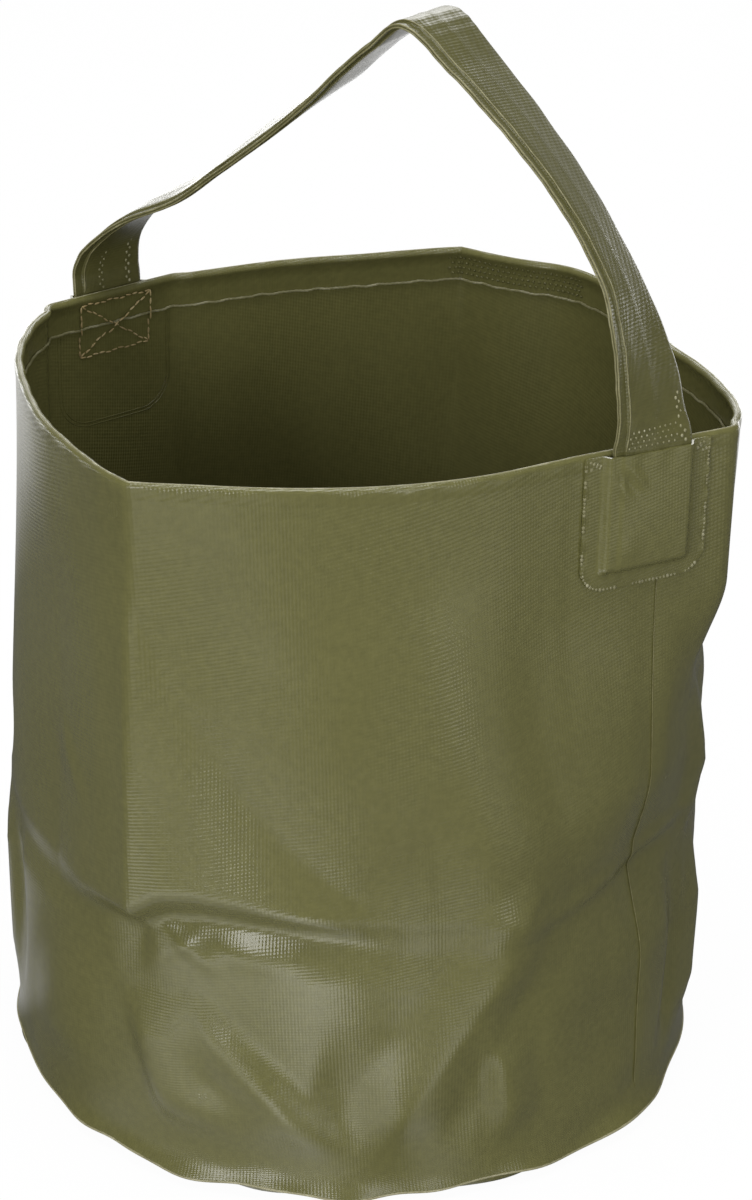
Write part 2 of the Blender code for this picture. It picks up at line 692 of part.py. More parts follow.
def strap_sleeve(name, start, end, stations, fine, lengths, carried_by):
    """A stretch of the sleeve, open at both ends."""
    ats = [start + (end - start) * i / stations for i in range(stations + 1)]
    form = bmesh.new()
    outer = skin(form, [strap_section(fine, lengths, at, sleeve_outside()) for at in ats], closed=False)
    inner = skin(form, [strap_section(fine, lengths, at, sleeve_inside()) for at in ats], closed=False)
    for around, hollow in ((outer[0], inner[0]), (outer[-1], inner[-1])):
        for i in range(len(around)):
            j = (i + 1) % len(around)
            form.faces.new((around[i], around[j], hollow[j], hollow[i]))
    return finish(name, form, carried_by, SHEET_COLOUR, 0.42)


def strap_webbing(name, start, end, stations, fine, lengths, carried_by):
    """A stretch of the woven core inside the sleeve."""
    half, rise = WEBBING_WIDTH / 2, WEBBING_THICKNESS / 2
    section = [(half, -rise), (half, rise), (-half, rise), (-half, -rise)]
    ats = [start + (end - start) * i / stations for i in range(stations + 1)]
    form = bmesh.new()
    loops = skin(form, [strap_section(fine, lengths, at, section) for at in ats], closed=False)
    form.faces.new(loops[0])
    form.faces.new(loops[-1])
    return finish(name, form, carried_by, WEBBING_COLOUR, 0.85)


def strap(rim_carrier, handle_carrier):
    """The strap: a fixed stretch at each root and the handle between, parted at the hinge's height."""
    fine = smoothed(strap_route())
    lengths = lengths_along(fine)
    left_cut, right_cut = strap_cuts(fine, lengths)
    gap = CLEARANCE / 2
    stretches = (
        ("left_root", 0.0, left_cut - gap, ROOT_STATIONS, rim_carrier),
        ("handle", left_cut + gap, right_cut - gap, HANDLE_STATIONS, handle_carrier),
        ("right_root", right_cut + gap, lengths[-1], ROOT_STATIONS, rim_carrier),
    )
    for name, start, end, stations, carried_by in stretches:
        strap_sleeve(f"{name}_cover", start, end, stations, fine, lengths, carried_by)
        strap_webbing(f"{name}_webbing", start, end, stations, fine, lengths, carried_by)


def main():
    """Clears the scene and builds every piece on its body's carrier."""
    for old in list(bpy.data.objects):
        bpy.data.objects.remove(old, do_unlink=True)
    base = carrier("base", (0.0, 0.0, 0.0))
    rim = carrier("rim", (0.0, 0.0, BUCKET_HEIGHT), base)
    handle = carrier("handle", (0.0, 0.0, HANDLE_PIVOT_HEIGHT), rim)
    base_disc(base)
    wall_panel(base)
    rim_hem(rim)
    rim_cord(rim)
    for side in ROOT_SHARES:
        patch(side, rim)
    strap(rim, handle)


main()
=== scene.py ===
"""Looks of the collapsible camp bucket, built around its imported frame.

Every piece is a sheet, a strap, a cord or a weld, so most are grids that are shaped in code
and then given their thickness. Sizes are in metres unless a name or a comment says mm or degrees.
"""

import logging
import math
from dataclasses import dataclass
from enum import Enum
from functools import cached_property
from itertools import product
from typing import Callable, Optional, Sequence

import bmesh
import bpy
import numpy as np
from mathutils import Matrix, Vector

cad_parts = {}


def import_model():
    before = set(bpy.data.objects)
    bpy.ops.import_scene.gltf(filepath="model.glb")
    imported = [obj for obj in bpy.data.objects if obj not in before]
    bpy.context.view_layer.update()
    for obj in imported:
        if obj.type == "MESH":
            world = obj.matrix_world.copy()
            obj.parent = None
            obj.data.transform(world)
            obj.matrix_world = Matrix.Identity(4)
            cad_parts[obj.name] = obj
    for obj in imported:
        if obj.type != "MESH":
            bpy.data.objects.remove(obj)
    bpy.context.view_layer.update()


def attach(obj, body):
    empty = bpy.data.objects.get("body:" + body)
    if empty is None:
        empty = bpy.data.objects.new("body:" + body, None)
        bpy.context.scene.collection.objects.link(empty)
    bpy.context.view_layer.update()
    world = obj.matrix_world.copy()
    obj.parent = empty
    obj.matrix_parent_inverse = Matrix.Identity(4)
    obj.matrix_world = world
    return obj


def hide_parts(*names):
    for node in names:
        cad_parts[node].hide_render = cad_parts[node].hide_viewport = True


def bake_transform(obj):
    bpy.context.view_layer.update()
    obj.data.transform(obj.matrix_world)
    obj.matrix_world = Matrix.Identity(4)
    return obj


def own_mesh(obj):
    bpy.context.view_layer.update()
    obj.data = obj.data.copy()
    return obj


log = logging.getLogger("camp_bucket")

MM = 0.001
WEAVE_PITCH = 0.0015
WEFT_SHARE = 0.86
BIAS = math.radians(38.0)
MERGE = 1e-6
SENSOR = 36.0
FOCAL_PIXELS = 2888.0
PHOTO_HEIGHT = 1200.0
WHITE = (1.0, 1.0, 1.0, 1.0)


class Side(Enum):
    """The two ends of the handle."""

    LEFT = "left"
    RIGHT = "right"


class Crest(Enum):
    """How a fold's top is bent."""

    SHARP = "sharp"
    PLANE = "plane"
    SOFT = "soft"


def eased(values: np.ndarray, start: float, end: float) -> np.ndarray:
    """Turn smoothly from 0 to 1.

    Args:
        values: Where the turn is read.
        start: The value up to which it is 0.
        end: The value from which it is 1.

    Returns:
        The turn at each value.
    """
    t = np.clip((values - start) / (end - start), 0.0, 1.0)
    return t * t * (3 - 2 * t)


def mound(x: np.ndarray, y: np.ndarray, middle: tuple[float, float], spread: tuple[float, float]) -> np.ndarray:
    """Give a rounded mound that is 1 at its middle and fades over its spread in x and y."""
    return np.exp(-(((x - middle[0]) / spread[0]) ** 2) - ((y - middle[1]) / spread[1]) ** 2)


def turn_from(centre: float, angles: np.ndarray) -> np.ndarray:
    """Give the turn from a centre to each angle, in degrees between -180 and 180."""
    return (angles - centre + 180.0) % 360.0 - 180.0


@dataclass(frozen=True)
class Fold:
    """A line pressed into the wall by storage or handling.

    Attributes:
        run: Points of the line as (degrees, height in mm, mm outwards).
        left: Its width in mm on the left of the run's direction, seen from outside.
        right: Its width in mm on the right.
        crest: How its top is bent.
        rounding: The radius in mm that softens its line.
    """

    run: tuple[tuple[float, float, float], ...]
    left: float
    right: float
    crest: Crest = Crest.PLANE
    rounding: float = 0.8

    def outward(self, angles: np.ndarray, heights: np.ndarray, radius: float) -> np.ndarray:
        """Give how far the fold moves the wall.

        Args:
            angles: Angles of the wall's points, in degrees.
            heights: Their heights.
            radius: The round base's radius, which turns degrees into a length.

        Returns:
            The move outwards of each point, in metres.
        """
        per_degree = math.radians(radius / MM)
        centre = self.run[len(self.run) // 2][0]
        across = turn_from(centre, angles) * per_degree
        up = heights / MM
        nearest = np.full(angles.shape, np.inf)
        found = np.zeros(angles.shape)
        for start, end in zip(self.run, self.run[1:]):
            ax = float(turn_from(centre, np.array(start[0]))) * per_degree
            bx = float(turn_from(centre, np.array(end[0]))) * per_degree
            dx, dy = bx - ax, end[1] - start[1]
            t = np.clip(((across - ax) * dx + (up - start[1]) * dy) / (dx * dx + dy * dy), 0.0, 1.0)
            off_x, off_y = across - ax - t * dx, up - start[1] - t * dy
            distance = np.hypot(off_x, off_y)
            width = np.where(dx * off_y - dy * off_x > 0, self.left, self.right)
            share = np.clip((np.hypot(distance, self.rounding) - self.rounding) / width, 0.0, 1.0)
            if self.crest is Crest.SHARP:
                shape = (1.0 - share) ** 2
            elif self.crest is Crest.PLANE:
                shape = (1.0 - share) ** 2 * (1.0 + share + share * share)
            else:
                shape = (1.0 - share**2) ** 2
            move = (start[2] + t * (end[2] - start[2])) * shape
            closer = distance < nearest
            found = np.where(closer, move, found)
            nearest = np.where(closer, distance, nearest)
        return found * MM


@dataclass(frozen=True)
class Dent:
    """A soft hollow or swelling of the wall.

    Attributes:
        place: Its middle as (degrees, height in mm).
        reach: Half its size as (degrees, mm).
        rise: How far its middle stands out, in mm.
        lean: How far it leans, in degrees of angle per mm of height.
    """

    place: tuple[float, float]
    reach: tuple[float, float]
    rise: float
    lean: float = 0.0

    def outward(self, angles: np.ndarray, heights: np.ndarray, radius: float) -> np.ndarray:
        """Give how far the dent moves the wall. Args and result are those of a fold."""
        up = heights / MM - self.place[1]
        across = turn_from(self.place[0], angles) - self.lean * up
        off = (across / self.reach[0]) ** 2 + (up / self.reach[1]) ** 2
        return self.rise * MM * np.clip(1.0 - off, 0.0, 1.0) ** 2


@dataclass(frozen=True)
class Overhang:
    """A flat facet that leans out downwards and turns back in under a brim.

    Attributes:
        rows: (degrees, top edge, brim and foot heights in mm, mm outwards at the brim).
    """

    rows: tuple[tuple[float, float, float, float, float], ...]

    def outward(self, angles: np.ndarray, heights: np.ndarray, radius: float) -> np.ndarray:
        """Give how far the facet moves the wall. Args and result are those of a fold."""
        centre = self.rows[len(self.rows) // 2][0]
        turn = turn_from(centre, angles)
        at = [row[0] - centre for row in self.rows]
        edge, brim, foot, rise = (np.interp(turn, at, column) for column in list(zip(*self.rows))[1:])
        rise = np.where((turn < at[0]) | (turn > at[-1]), 0.0, rise)
        up = heights / MM
        over = np.clip((edge - up) / np.maximum(edge - brim, 1.0), 0.0, 1.0)
        under = np.clip((up - foot) / np.maximum(brim - foot, 1.0), 0.0, 1.0)
        return rise * MM * np.where(up > brim, over, eased(under, 0.0, 1.0))


@dataclass(frozen=True)
class BucketForm:
    """The sizes and the crumpled shape that every sheet of the bucket follows.

    Attributes:
        gap: The gap between sheets that lie on each other.
        flange: How high the base's edge is turned up.
        seam_at: Where the wall's lap starts, in degrees.
        outline: The rim's radius as a share of the base's, at each angle.
        creases: The angles at which the outline has a corner.
        roots: Each strap root's side, angle, facing and distance out as a share of the radius.
        root_flat: How far beside a root the wall is flat and how far it turns, in degrees.
        root_reach: The same for the part of the wall below that follows the flat.
        lobe_reach: The same for the part that follows the rim's outline where it bulges.
        rises: Levels from which and by which the wall takes the rim's outline: everywhere, in a
            lobe by a root, and under a root where the rim stands out or in.
        creased: Levels between which the folds and dents come in, and between which they end.
        marks: The folds and dents of the wall.
    """

    radius: float = 0.120
    height: float = 0.250
    sheet: float = 0.0008
    gap: float = 0.0003
    hem_depth: float = 0.012
    flange: float = 0.012
    seam_at: float = 3.0
    seam_width: float = 0.015
    outline: tuple[tuple[float, float], ...] = (
        (-163, 0.988),
        (-150, 0.968),
        (-127, 0.938),
        (-106, 0.975),
        (-96.5, 1.010),
        (-89.3, 1.049),
        (-83.7, 1.077),
        (-74.2, 1.006),
        (-60, 0.947),
        (-45, 0.912),
        (-28, 0.889),
        (-16, 0.885),
        (0, 0.948),
        (13, 1.062),
        (20, 1.066),
        (31, 0.997),
        (41, 0.938),
        (50, 0.896),
        (60, 0.905),
        (71, 0.953),
        (83, 1.030),
        (92, 1.068),
        (101, 1.050),
        (106.5, 1.058),
        (112.6, 1.089),
        (122, 1.004),
        (131, 0.949),
        (150, 0.911),
        (161, 0.911),
        (180, 0.953),
    )
    creases: tuple[float, float] = (-83.7, 112.6)
    roots: tuple[tuple[Side, float, float, float], ...] = (
        (Side.LEFT, 180, 170.5, 0.946),
        (Side.RIGHT, 0, -22.7, 0.948),
    )
    root_flat: tuple[float, float] = (12.5, 17)
    root_reach: tuple[float, float] = (12.5, 38)
    lobe_reach: tuple[float, float] = (26, 40)
    rises: tuple[tuple[float, float], ...] = ((0.35, 1), (0.74, 1), (0.58, 0.79), (0.42, 0.80))
    creased: tuple[tuple[float, float], ...] = ((0.055, 0.14), (0.79, 0.94))
    marks: tuple[object, ...] = ()

    @property
    def hem_foot(self) -> float:
        """Give the height of the hem's lower edge."""
        return self.height - self.hem_depth

    def outline_share(self, angle: float) -> float:
        """Give the rim's radius as a share of the base's, smooth but for the storage creases."""
        table = self.outline
        for i, start in enumerate(table):
            end = table[(i + 1) % len(table)]
            span = (end[0] - start[0]) % 360.0
            along = (angle - start[0]) % 360.0
            if along <= span:
                break
        before, after = table[i - 1], table[(i + 2) % len(table)]
        secant = (end[1] - start[1]) / span
        slope_in = (end[1] - before[1]) / ((end[0] - before[0]) % 360.0)
        slope_out = (after[1] - start[1]) / ((after[0] - start[0]) % 360.0)
        if start[0] in self.creases:
            slope_in = secant
        if end[0] in self.creases:
            slope_out = secant
        t = along / span
        bend = span * t * (1 - t) * (slope_in * (1 - t) - slope_out * t)
        return start[1] + (end[1] - start[1]) * t * t * (3 - 2 * t) + bend

    @cached_property
    def outline_table(self) -> tuple[np.ndarray, np.ndarray]:
        """List the rim's radius shares every quarter of a degree."""
        fine = np.arange(-180.0, 180.01, 0.25)
        return fine, np.array([self.outline_share(a) for a in fine])

    def rim_share(self, angles: np.ndarray) -> np.ndarray:
        """Give the rim's radius share at each angle, straight across the strap roots."""
        share = np.interp(turn_from(0.0, angles), *self.outline_table)
        for _, at, facing, reach in self.roots:
            weight = self.beside(angles, at, self.root_flat)
            lean = math.radians(facing - at)
            off = np.radians(np.clip(turn_from(at, angles), -40.0, 40.0))
            flat = reach * math.cos(lean) / np.cos(off - lean)
            share = share + weight * (flat - share)
        return share

    @staticmethod
    def beside(angles: np.ndarray, at: float, reach: tuple[float, float]) -> np.ndarray:
        """Give 1 up to a reach beside an angle, easing to 0 at a second one."""
        return 1.0 - eased(np.abs(turn_from(at, angles)), *reach)

    def radius_at(self, angles: np.ndarray, heights: np.ndarray) -> np.ndarray:
        """Give the wall's outer radius.

        Args:
            angles: Degrees round the bucket.
            heights: Heights over the floor, as many as the angles.

        Returns:
            The distance from the bucket's middle line at each point.
        """
        level = np.clip(heights / self.height, 0.0, 1.0)
        bulge = self.rim_share(angles) - 1.0
        follows, lobe, standing, drawn = (eased(level, *rise) for rise in self.rises)
        for _, at, _, _ in self.roots:
            near = np.where(bulge > 0, self.beside(angles, at, self.lobe_reach), 0.0)
            follows = follows + near * (lobe - follows)
            rooted = np.where(bulge > 0, standing, drawn)
            follows = follows + self.beside(angles, at, self.root_reach) * (rooted - follows)
        radius = self.radius * (1.0 + bulge * follows)
        fade = eased(level, *self.creased[0]) * (1.0 - eased(level, *self.creased[1]))
        moved = sum((mark.outward(angles, heights, self.radius) for mark in self.marks), np.zeros(angles.shape))
        return radius + fade * moved

    def points(self, angles: np.ndarray, heights: np.ndarray, outward: np.ndarray) -> np.ndarray:
        """Give points off the wall's outer face, along its level normal.

        Args:
            angles: Degrees round the bucket.
            heights: Heights over the floor.
            outward: How far each point stands off the face.

        Returns:
            One (x, y, z) row per point.
        """
        step = 0.4
        here = self.radius_at(angles, heights)
        ahead, back = (self.radius_at(angles + way * step, heights) for way in (1, -1))
        slope = (ahead - back) / math.radians(2 * step)
        cos, sin = np.cos(np.radians(angles)), np.sin(np.radians(angles))
        out_x, out_y = slope * sin + here * cos, here * sin - slope * cos
        length = np.hypot(out_x, out_y)
        x = here * cos + outward * out_x / length
        y = here * sin + outward * out_y / length
        return np.stack([x, y, heights], axis=-1)

    def root(self, side: Side) -> tuple[float, Vector, Vector, float]:
        """Give a strap root's angle, the way along the rim there, the way out, and its x."""
        _, at, facing, reach = next(r for r in self.roots if r[0] is side)
        out = Vector((math.cos(math.radians(facing)), math.sin(math.radians(facing)), 0.0))
        return at, Vector((-out.y, out.x, 0.0)), out, self.radius * reach * math.cos(math.radians(at))

    def root_angles(self, side: Side, across: np.ndarray) -> np.ndarray:
        """Turn distances along a root's flat into angles round the bucket."""
        _, along, _, x = self.root(side)
        return np.degrees(np.arctan2(along.y * across, x + along.x * across))


def photographed_marks() -> tuple[object, ...]:
    """List the folds and dents of the wall, as the photograph shows them, with a plausible back."""
    facet = Overhang(
        (
            (-106, 215, 100, 90, 0),
            (-95, 218, 102, 90, 3.8),
            (-84.5, 218, 104, 91, 9.6),
            (-80, 192, 112, 99, 8.6),
            (-75, 168, 114, 101, 7),
            (-68, 146, 113, 102, 5.2),
            (-62, 132, 110, 101, 3.8),
            (-55, 119, 106, 100, 2.2),
            (-46, 106, 102, 98, 0),
        )
    )
    soft, sharp = Crest.SOFT, Crest.SHARP
    return (
        facet,
        # The storage crease round the front
        Fold(((-90, 88, 0), (-82, 98, -1.6), (-75, 102, -2.6), (-62, 101, -3.4), (-52, 100, -2.8), (-43, 97, -1.6),
              (-33, 96, -1.4), (-26, 94.5, -2.2), (-18, 95, 0)), 7, 17),
        Fold(((-27, 94, 0), (-16, 95.5, -2.6), (-8, 97, -5.2), (0, 98.5, -7.6), (5, 99, -8.2), (13, 99, -5.6),
              (22, 97, -3), (34, 88, 0)), 36, 36),
        Fold(((-86, 98.5, 0), (-80, 102, 0.7), (-75, 104, 0.8), (-67, 103.6, 0.8), (-59, 102, 0.7), (-52, 101.5, 0.6),
              (-43, 97.5, 0.5), (-33, 96.5, 0.4), (-24, 95, 0)), 2.2, 3.4),
        Fold(((-25, 94.5, 0), (-20, 96.5, 0.8), (-8, 99, 1.2), (1, 101.5, 1), (10, 104, 1.2), (20, 105, 0.8),
              (26, 103, 0)), 6, 3),
        # The upright crease and the flat beside it
        Fold(((-83.7, 240, 0), (-84, 200, 1), (-84.3, 150, 1.6), (-84.6, 106, 1.2), (-86, 94, 0)), 10, 12, sharp),
        Dent((-112, 160), (22, 95), -2.6),
        Fold(((-107, 158, 0), (-102, 142, 1), (-95, 124, 0)), 6, 10),
        # The small dimple where the creases cross
        Fold(((-92, 92, 0), (-86.5, 86, -1.4), (-86, 78, -1), (-84, 68, 0)), 9, 12),
        Fold(((-84, 97, 0), (-83, 90, 1.2), (-84.5, 80, 0.6), (-85, 72, 0)), 7, 4),
        Fold(((-84, 98, 0), (-80, 92, 1.3), (-75, 86, 0.9), (-71, 82, 0)), 5, 3),
        Fold(((-74, 97, 0), (-77, 91, 1), (-81, 85, 0.8), (-84, 79, 0)), 3.5, 4.5),
        # Soft ridges from the crease down to the base
        Fold(((-86, 68, 0), (-84, 52, 3.4), (-80, 28, 4), (-68, 17, 3.2), (-56, 13, 0.8)), 19, 10, soft),
        Fold(((-79, 72, 0), (-72, 56, 3.2), (-64, 40, 4.6), (-56, 18, 4.2), (-53, 4, 1.8)), 11, 16),
        Fold(((-50, 68, 0), (-52, 44, -2.6), (-50, 24, -2.8), (-49, 6, -1.2)), 16, 12, soft),
        Fold(((-36, 216, 0), (-31.5, 165, 2), (-27.5, 130, 3.2), (-25.5, 98, 3.6), (-25, 92, 2.4)), 24, 24, soft),
        Fold(((-25.5, 95, 3.6), (-31, 74, 4.2), (-37, 54, 4), (-44, 28, 3.2), (-48, 8, 0.8)), 15, 20),
        Fold(((-31, 70, 0), (-27, 48, 4), (-25.5, 28, 4.4), (-27, 6, 2.2)), 14, 8),
        Fold(((-32, 42, 0), (-33, 32, -1), (-34.5, 20, -1.6), (-37, 4, -1)), 7, 7, soft),
        Dent((-66, 92), (12, 9), 1.4),
        Dent((-6, 50), (13, 42), -2.2),
        # Upright folds near the right edge
        Fold(((16, 166, 0), (19, 146, 1.4), (22, 122, 4.4), (24, 102, 2.5)), 9, 11),
        Dent((26, 172), (22, 30), -3.4),
        Fold(((14, 172, 0), (28, 146, -2.6), (31, 118, -3.4), (31, 98, 0)), 9, 9),
        Fold(((27, 92, 0), (26, 66, 3.6), (25.5, 36, 3.4), (22, 8, 1.4)), 9, 11),
        Fold(((16, 84, -1), (17, 60, -3.4), (16, 36, -3.6), (12, 10, -2)), 9, 10),
        # The left edge
        Dent((-128, 62), (8, 44), -3.6),
        Fold(((-138, 108, 0), (-135, 76, 2.6), (-136, 34, 2), (-132, 6, 0)), 10, 14),
        Dent((-141, 122), (12, 18), -3),
        Dent((-104, 42), (13, 40), 2, 0.1),
        # From here on the back, which the photograph does not show
        Fold(((34, 88, 0), (58, 93, -2.8), (84, 100, -3.8), (108, 97, -3), (113, 95, 0)), 14, 20),
        Fold(((113, 96, 0), (128, 103, -3.4), (152, 101, -3.8), (176, 96, -2.4), (-162, 101, -3.4), (-142, 97, 0)),
              12, 20),
        Fold(((-142, 99, 0), (-124, 94, -1.4), (-106, 92, -1.2), (-94, 90, 0)), 9, 12),
        Fold(((112.8, 236, 0), (113, 190, 2.2), (113.4, 140, 4), (113, 102, 3), (113, 92, 0)), 18, 18),
        Fold(((114, 92, 0), (118, 66, 2.8), (128, 34, 2.6), (132, 6, 1)), 16, 14),
        Fold(((96, 92, 0), (90, 60, 2.6), (95, 28, 2.4), (92, 6, 1)), 15, 17),
        Fold(((58, 86, 0), (52, 58, 2.6), (56, 26, 2.2), (53, 6, 0.6)), 16, 15, soft),
        Fold(((152, 210, 0), (146, 160, 2), (142, 125, 3), (144, 104, 1)), 20, 22, soft),
        Fold(((164, 92, 0), (168, 60, 2.6), (160, 26, 2.4), (163, 6, 1)), 16, 14),
        Dent((86, 165), (16, 60), -2.6),
        Dent((-160, 60), (14, 34), 2.2, 0.12),
    )


FORM = BucketForm(marks=photographed_marks())


def only(piece: bpy.types.Object) -> None:
    """Leave one object selected and active."""
    bpy.ops.object.select_all(action="DESELECT")
    piece.select_set(True)
    bpy.context.view_layer.objects.active = piece


def edited(piece: bpy.types.Object, step: Callable[[], object]) -> bpy.types.Object:
    """Run an edit mode operator on all of a piece.

    Args:
        piece: The object.
        step: The call to make in edit mode, with everything selected.

    Returns:
        The same object.
    """
    only(piece)
    bpy.ops.object.mode_set(mode="EDIT")
    bpy.ops.mesh.select_all(action="SELECT")
    step()
    bpy.ops.object.mode_set(mode="OBJECT")
    return piece


def smooth(piece: bpy.types.Object, degrees: float = 60.0) -> bpy.types.Object:
    """Shade a piece smooth but for edges sharper than an angle."""
    only(piece)
    bpy.ops.object.shade_smooth_by_angle(angle=math.radians(degrees))
    return piece


def thickened(piece: bpy.types.Object, thickness: float, degrees: float = 60.0, even: bool = False) -> bpy.types.Object:
    """Give a sheet its thickness and shade it.

    Args:
        piece: The sheet, as a grid without thickness.
        thickness: Its thickness, which goes in from its face.
        degrees: The sharpest angle that is shaded smooth.
        even: Whether the thickness is kept round bends.

    Returns:
        The same object.
    """
    only(piece)
    modifier = piece.modifiers.new("thickness", "SOLIDIFY")
    modifier.thickness, modifier.offset, modifier.use_even_offset = thickness, -1.0, even
    bpy.ops.object.modifier_apply(modifier=modifier.name)
    return smooth(piece, degrees)


def cloth(
    name: str,
    columns: int,
    rows: int,
    place: Callable[[np.ndarray, np.ndarray], np.ndarray],
    close_u: bool = False,
    close_v: bool = False,
) -> bpy.types.Object:
    """Cut a flat grid and lay it where a formula says. Its UV map stays the flat cut's.

    Args:
        name: The piece's name.
        columns: Faces across the cut.
        rows: Faces up the cut.
        place: Takes the cut's u and v from 0 to 1 and gives one (x, y, z) row per point.
        close_u: Whether its left and right edges meet.
        close_v: Whether its lower and upper edges meet.

    Returns:
        The new object.
    """
    bpy.ops.object.select_all(action="DESELECT")
    bpy.ops.mesh.primitive_grid_add(x_subdivisions=columns, y_subdivisions=rows, size=1.0, calc_uvs=True)
    piece = bpy.context.active_object
    piece.name = piece.data.name = name
    flat = np.zeros(len(piece.data.vertices) * 3)
    piece.data.vertices.foreach_get("co", flat)
    flat = flat.reshape(-1, 3) + 0.5
    piece.data.vertices.foreach_set("co", place(flat[:, 0], flat[:, 1]).reshape(-1))
    piece.data.update()
    if close_u or close_v:
        edited(piece, lambda: bpy.ops.mesh.remove_doubles(threshold=MERGE))
    return piece


def sleeve(
    name: str,
    columns: int,
    sides: int,
    place: Callable[[np.ndarray, np.ndarray], np.ndarray],
    degrees: float,
    ring: bool = False,
) -> bpy.types.Object:
    """Roll a flat grid into a closed tube.

    Args:
        name: The piece's name.
        columns: Faces along it.
        sides: Faces round it.
        place: Its formula, as for a cloth.
        degrees: The sharpest angle that is shaded smooth.
        ring: Whether its ends meet. They are capped if not.

    Returns:
        The new object.
    """
    piece = cloth(name, columns, sides, place, close_u=ring, close_v=True)
    if not ring:
        edited(piece, lambda: bpy.ops.mesh.fill_holes(sides=0))
    edited(piece, lambda: bpy.ops.mesh.normals_make_consistent(inside=False))
    return smooth(piece, degrees)


def bar(
    name: str,
    path: np.ndarray,
    ways: tuple[np.ndarray, np.ndarray],
    radius: float,
    sides: int,
    degrees: float,
    ring: bool,
) -> bpy.types.Object:
    """Run a thin bar along a path.

    Args:
        name: The piece's name.
        path: One (x, y, z) row per point.
        ways: The two directions that its section spans, at each point.
        radius: The bar's radius.
        sides: Faces round it.
        degrees: The sharpest angle that is shaded smooth.
        ring: Whether the path's ends meet.

    Returns:
        The new object.
    """
    count = len(path)
    columns = count if ring else count - 1

    def place(u: np.ndarray, v: np.ndarray) -> np.ndarray:
        at = np.rint(u * columns).astype(int) % count
        turn = (v * 2 * math.pi)[:, None]
        return path[at] + radius * (np.cos(turn) * ways[0][at] + np.sin(turn) * ways[1][at])

    return sleeve(name, columns, sides, place, degrees, ring)


def tube(
    name: str, path: np.ndarray, radius: float, sides: int = 6, ring: bool = True, flatten: float = 1.0
) -> bpy.types.Object:
    """Run a thin round bar along a line on the wall.

    Args:
        name: The piece's name.
        path: One (x, y, z) row per point.
        radius: The bar's radius.
        sides: Faces round it.
        ring: Whether the path's ends meet.
        flatten: Its thickness off the wall as a share of its width.

    Returns:
        The new object.
    """
    ahead = np.roll(path, -1, axis=0) - np.roll(path, 1, axis=0)
    if not ring:
        ahead[0], ahead[-1] = path[1] - path[0], path[-1] - path[-2]
    ahead /= np.linalg.norm(ahead, axis=1, keepdims=True)
    out = path * np.array([1.0, 1.0, 0.0])
    out /= np.linalg.norm(out, axis=1, keepdims=True)
    out -= ahead * np.sum(out * ahead, axis=1, keepdims=True)
    out /= np.linalg.norm(out, axis=1, keepdims=True)
    return bar(name, path, (out * flatten, np.cross(ahead, out)), radius, sides, 60.0, ring)


def joined(name: str, pieces: Sequence[bpy.types.Object]) -> bpy.types.Object:
    """Make one piece of several and give it under its name."""
    only(pieces[0])
    for piece in pieces[1:]:
        piece.select_set(True)
    bpy.ops.object.join()
    whole = bpy.context.active_object
    whole.name = name
    return whole


def axes_at(here: np.ndarray, ways: Sequence[Sequence[float]], sizes: Sequence[float]) -> Matrix:
    """Give the place of a small copy: its middle, the ways of its three axes and their sizes."""
    turn = Matrix([Vector(way) for way in ways]).transposed().to_4x4()
    return Matrix.Translation(Vector(here)) @ turn @ Matrix.Diagonal((*sizes, 1.0))


def repeated(name: str, places: Sequence[Matrix], long: bool = False) -> bpy.types.Object:
    """Make one piece of many small beads.

    Args:
        name: The piece's name.
        places: Where each bead goes.
        long: Whether they are stitches, whose poles lie off the wall.

    Returns:
        The new object.
    """
    if long:
        bpy.ops.mesh.primitive_uv_sphere_add(segments=8, ring_count=6, radius=1.0)
    else:
        bpy.ops.mesh.primitive_ico_sphere_add(subdivisions=2, radius=1.0)
    model = bpy.context.active_object
    form = bmesh.new()
    for place in places:
        copy = model.data.copy()
        copy.transform(place)
        form.from_mesh(copy)
        bpy.data.meshes.remove(copy)
    mesh = bpy.data.meshes.new(name)
    form.to_mesh(mesh)
    form.free()
    bpy.data.objects.remove(model)
    piece = bpy.data.objects.new(name, mesh)
    bpy.context.scene.collection.objects.link(piece)
    return smooth(piece, 40.0)


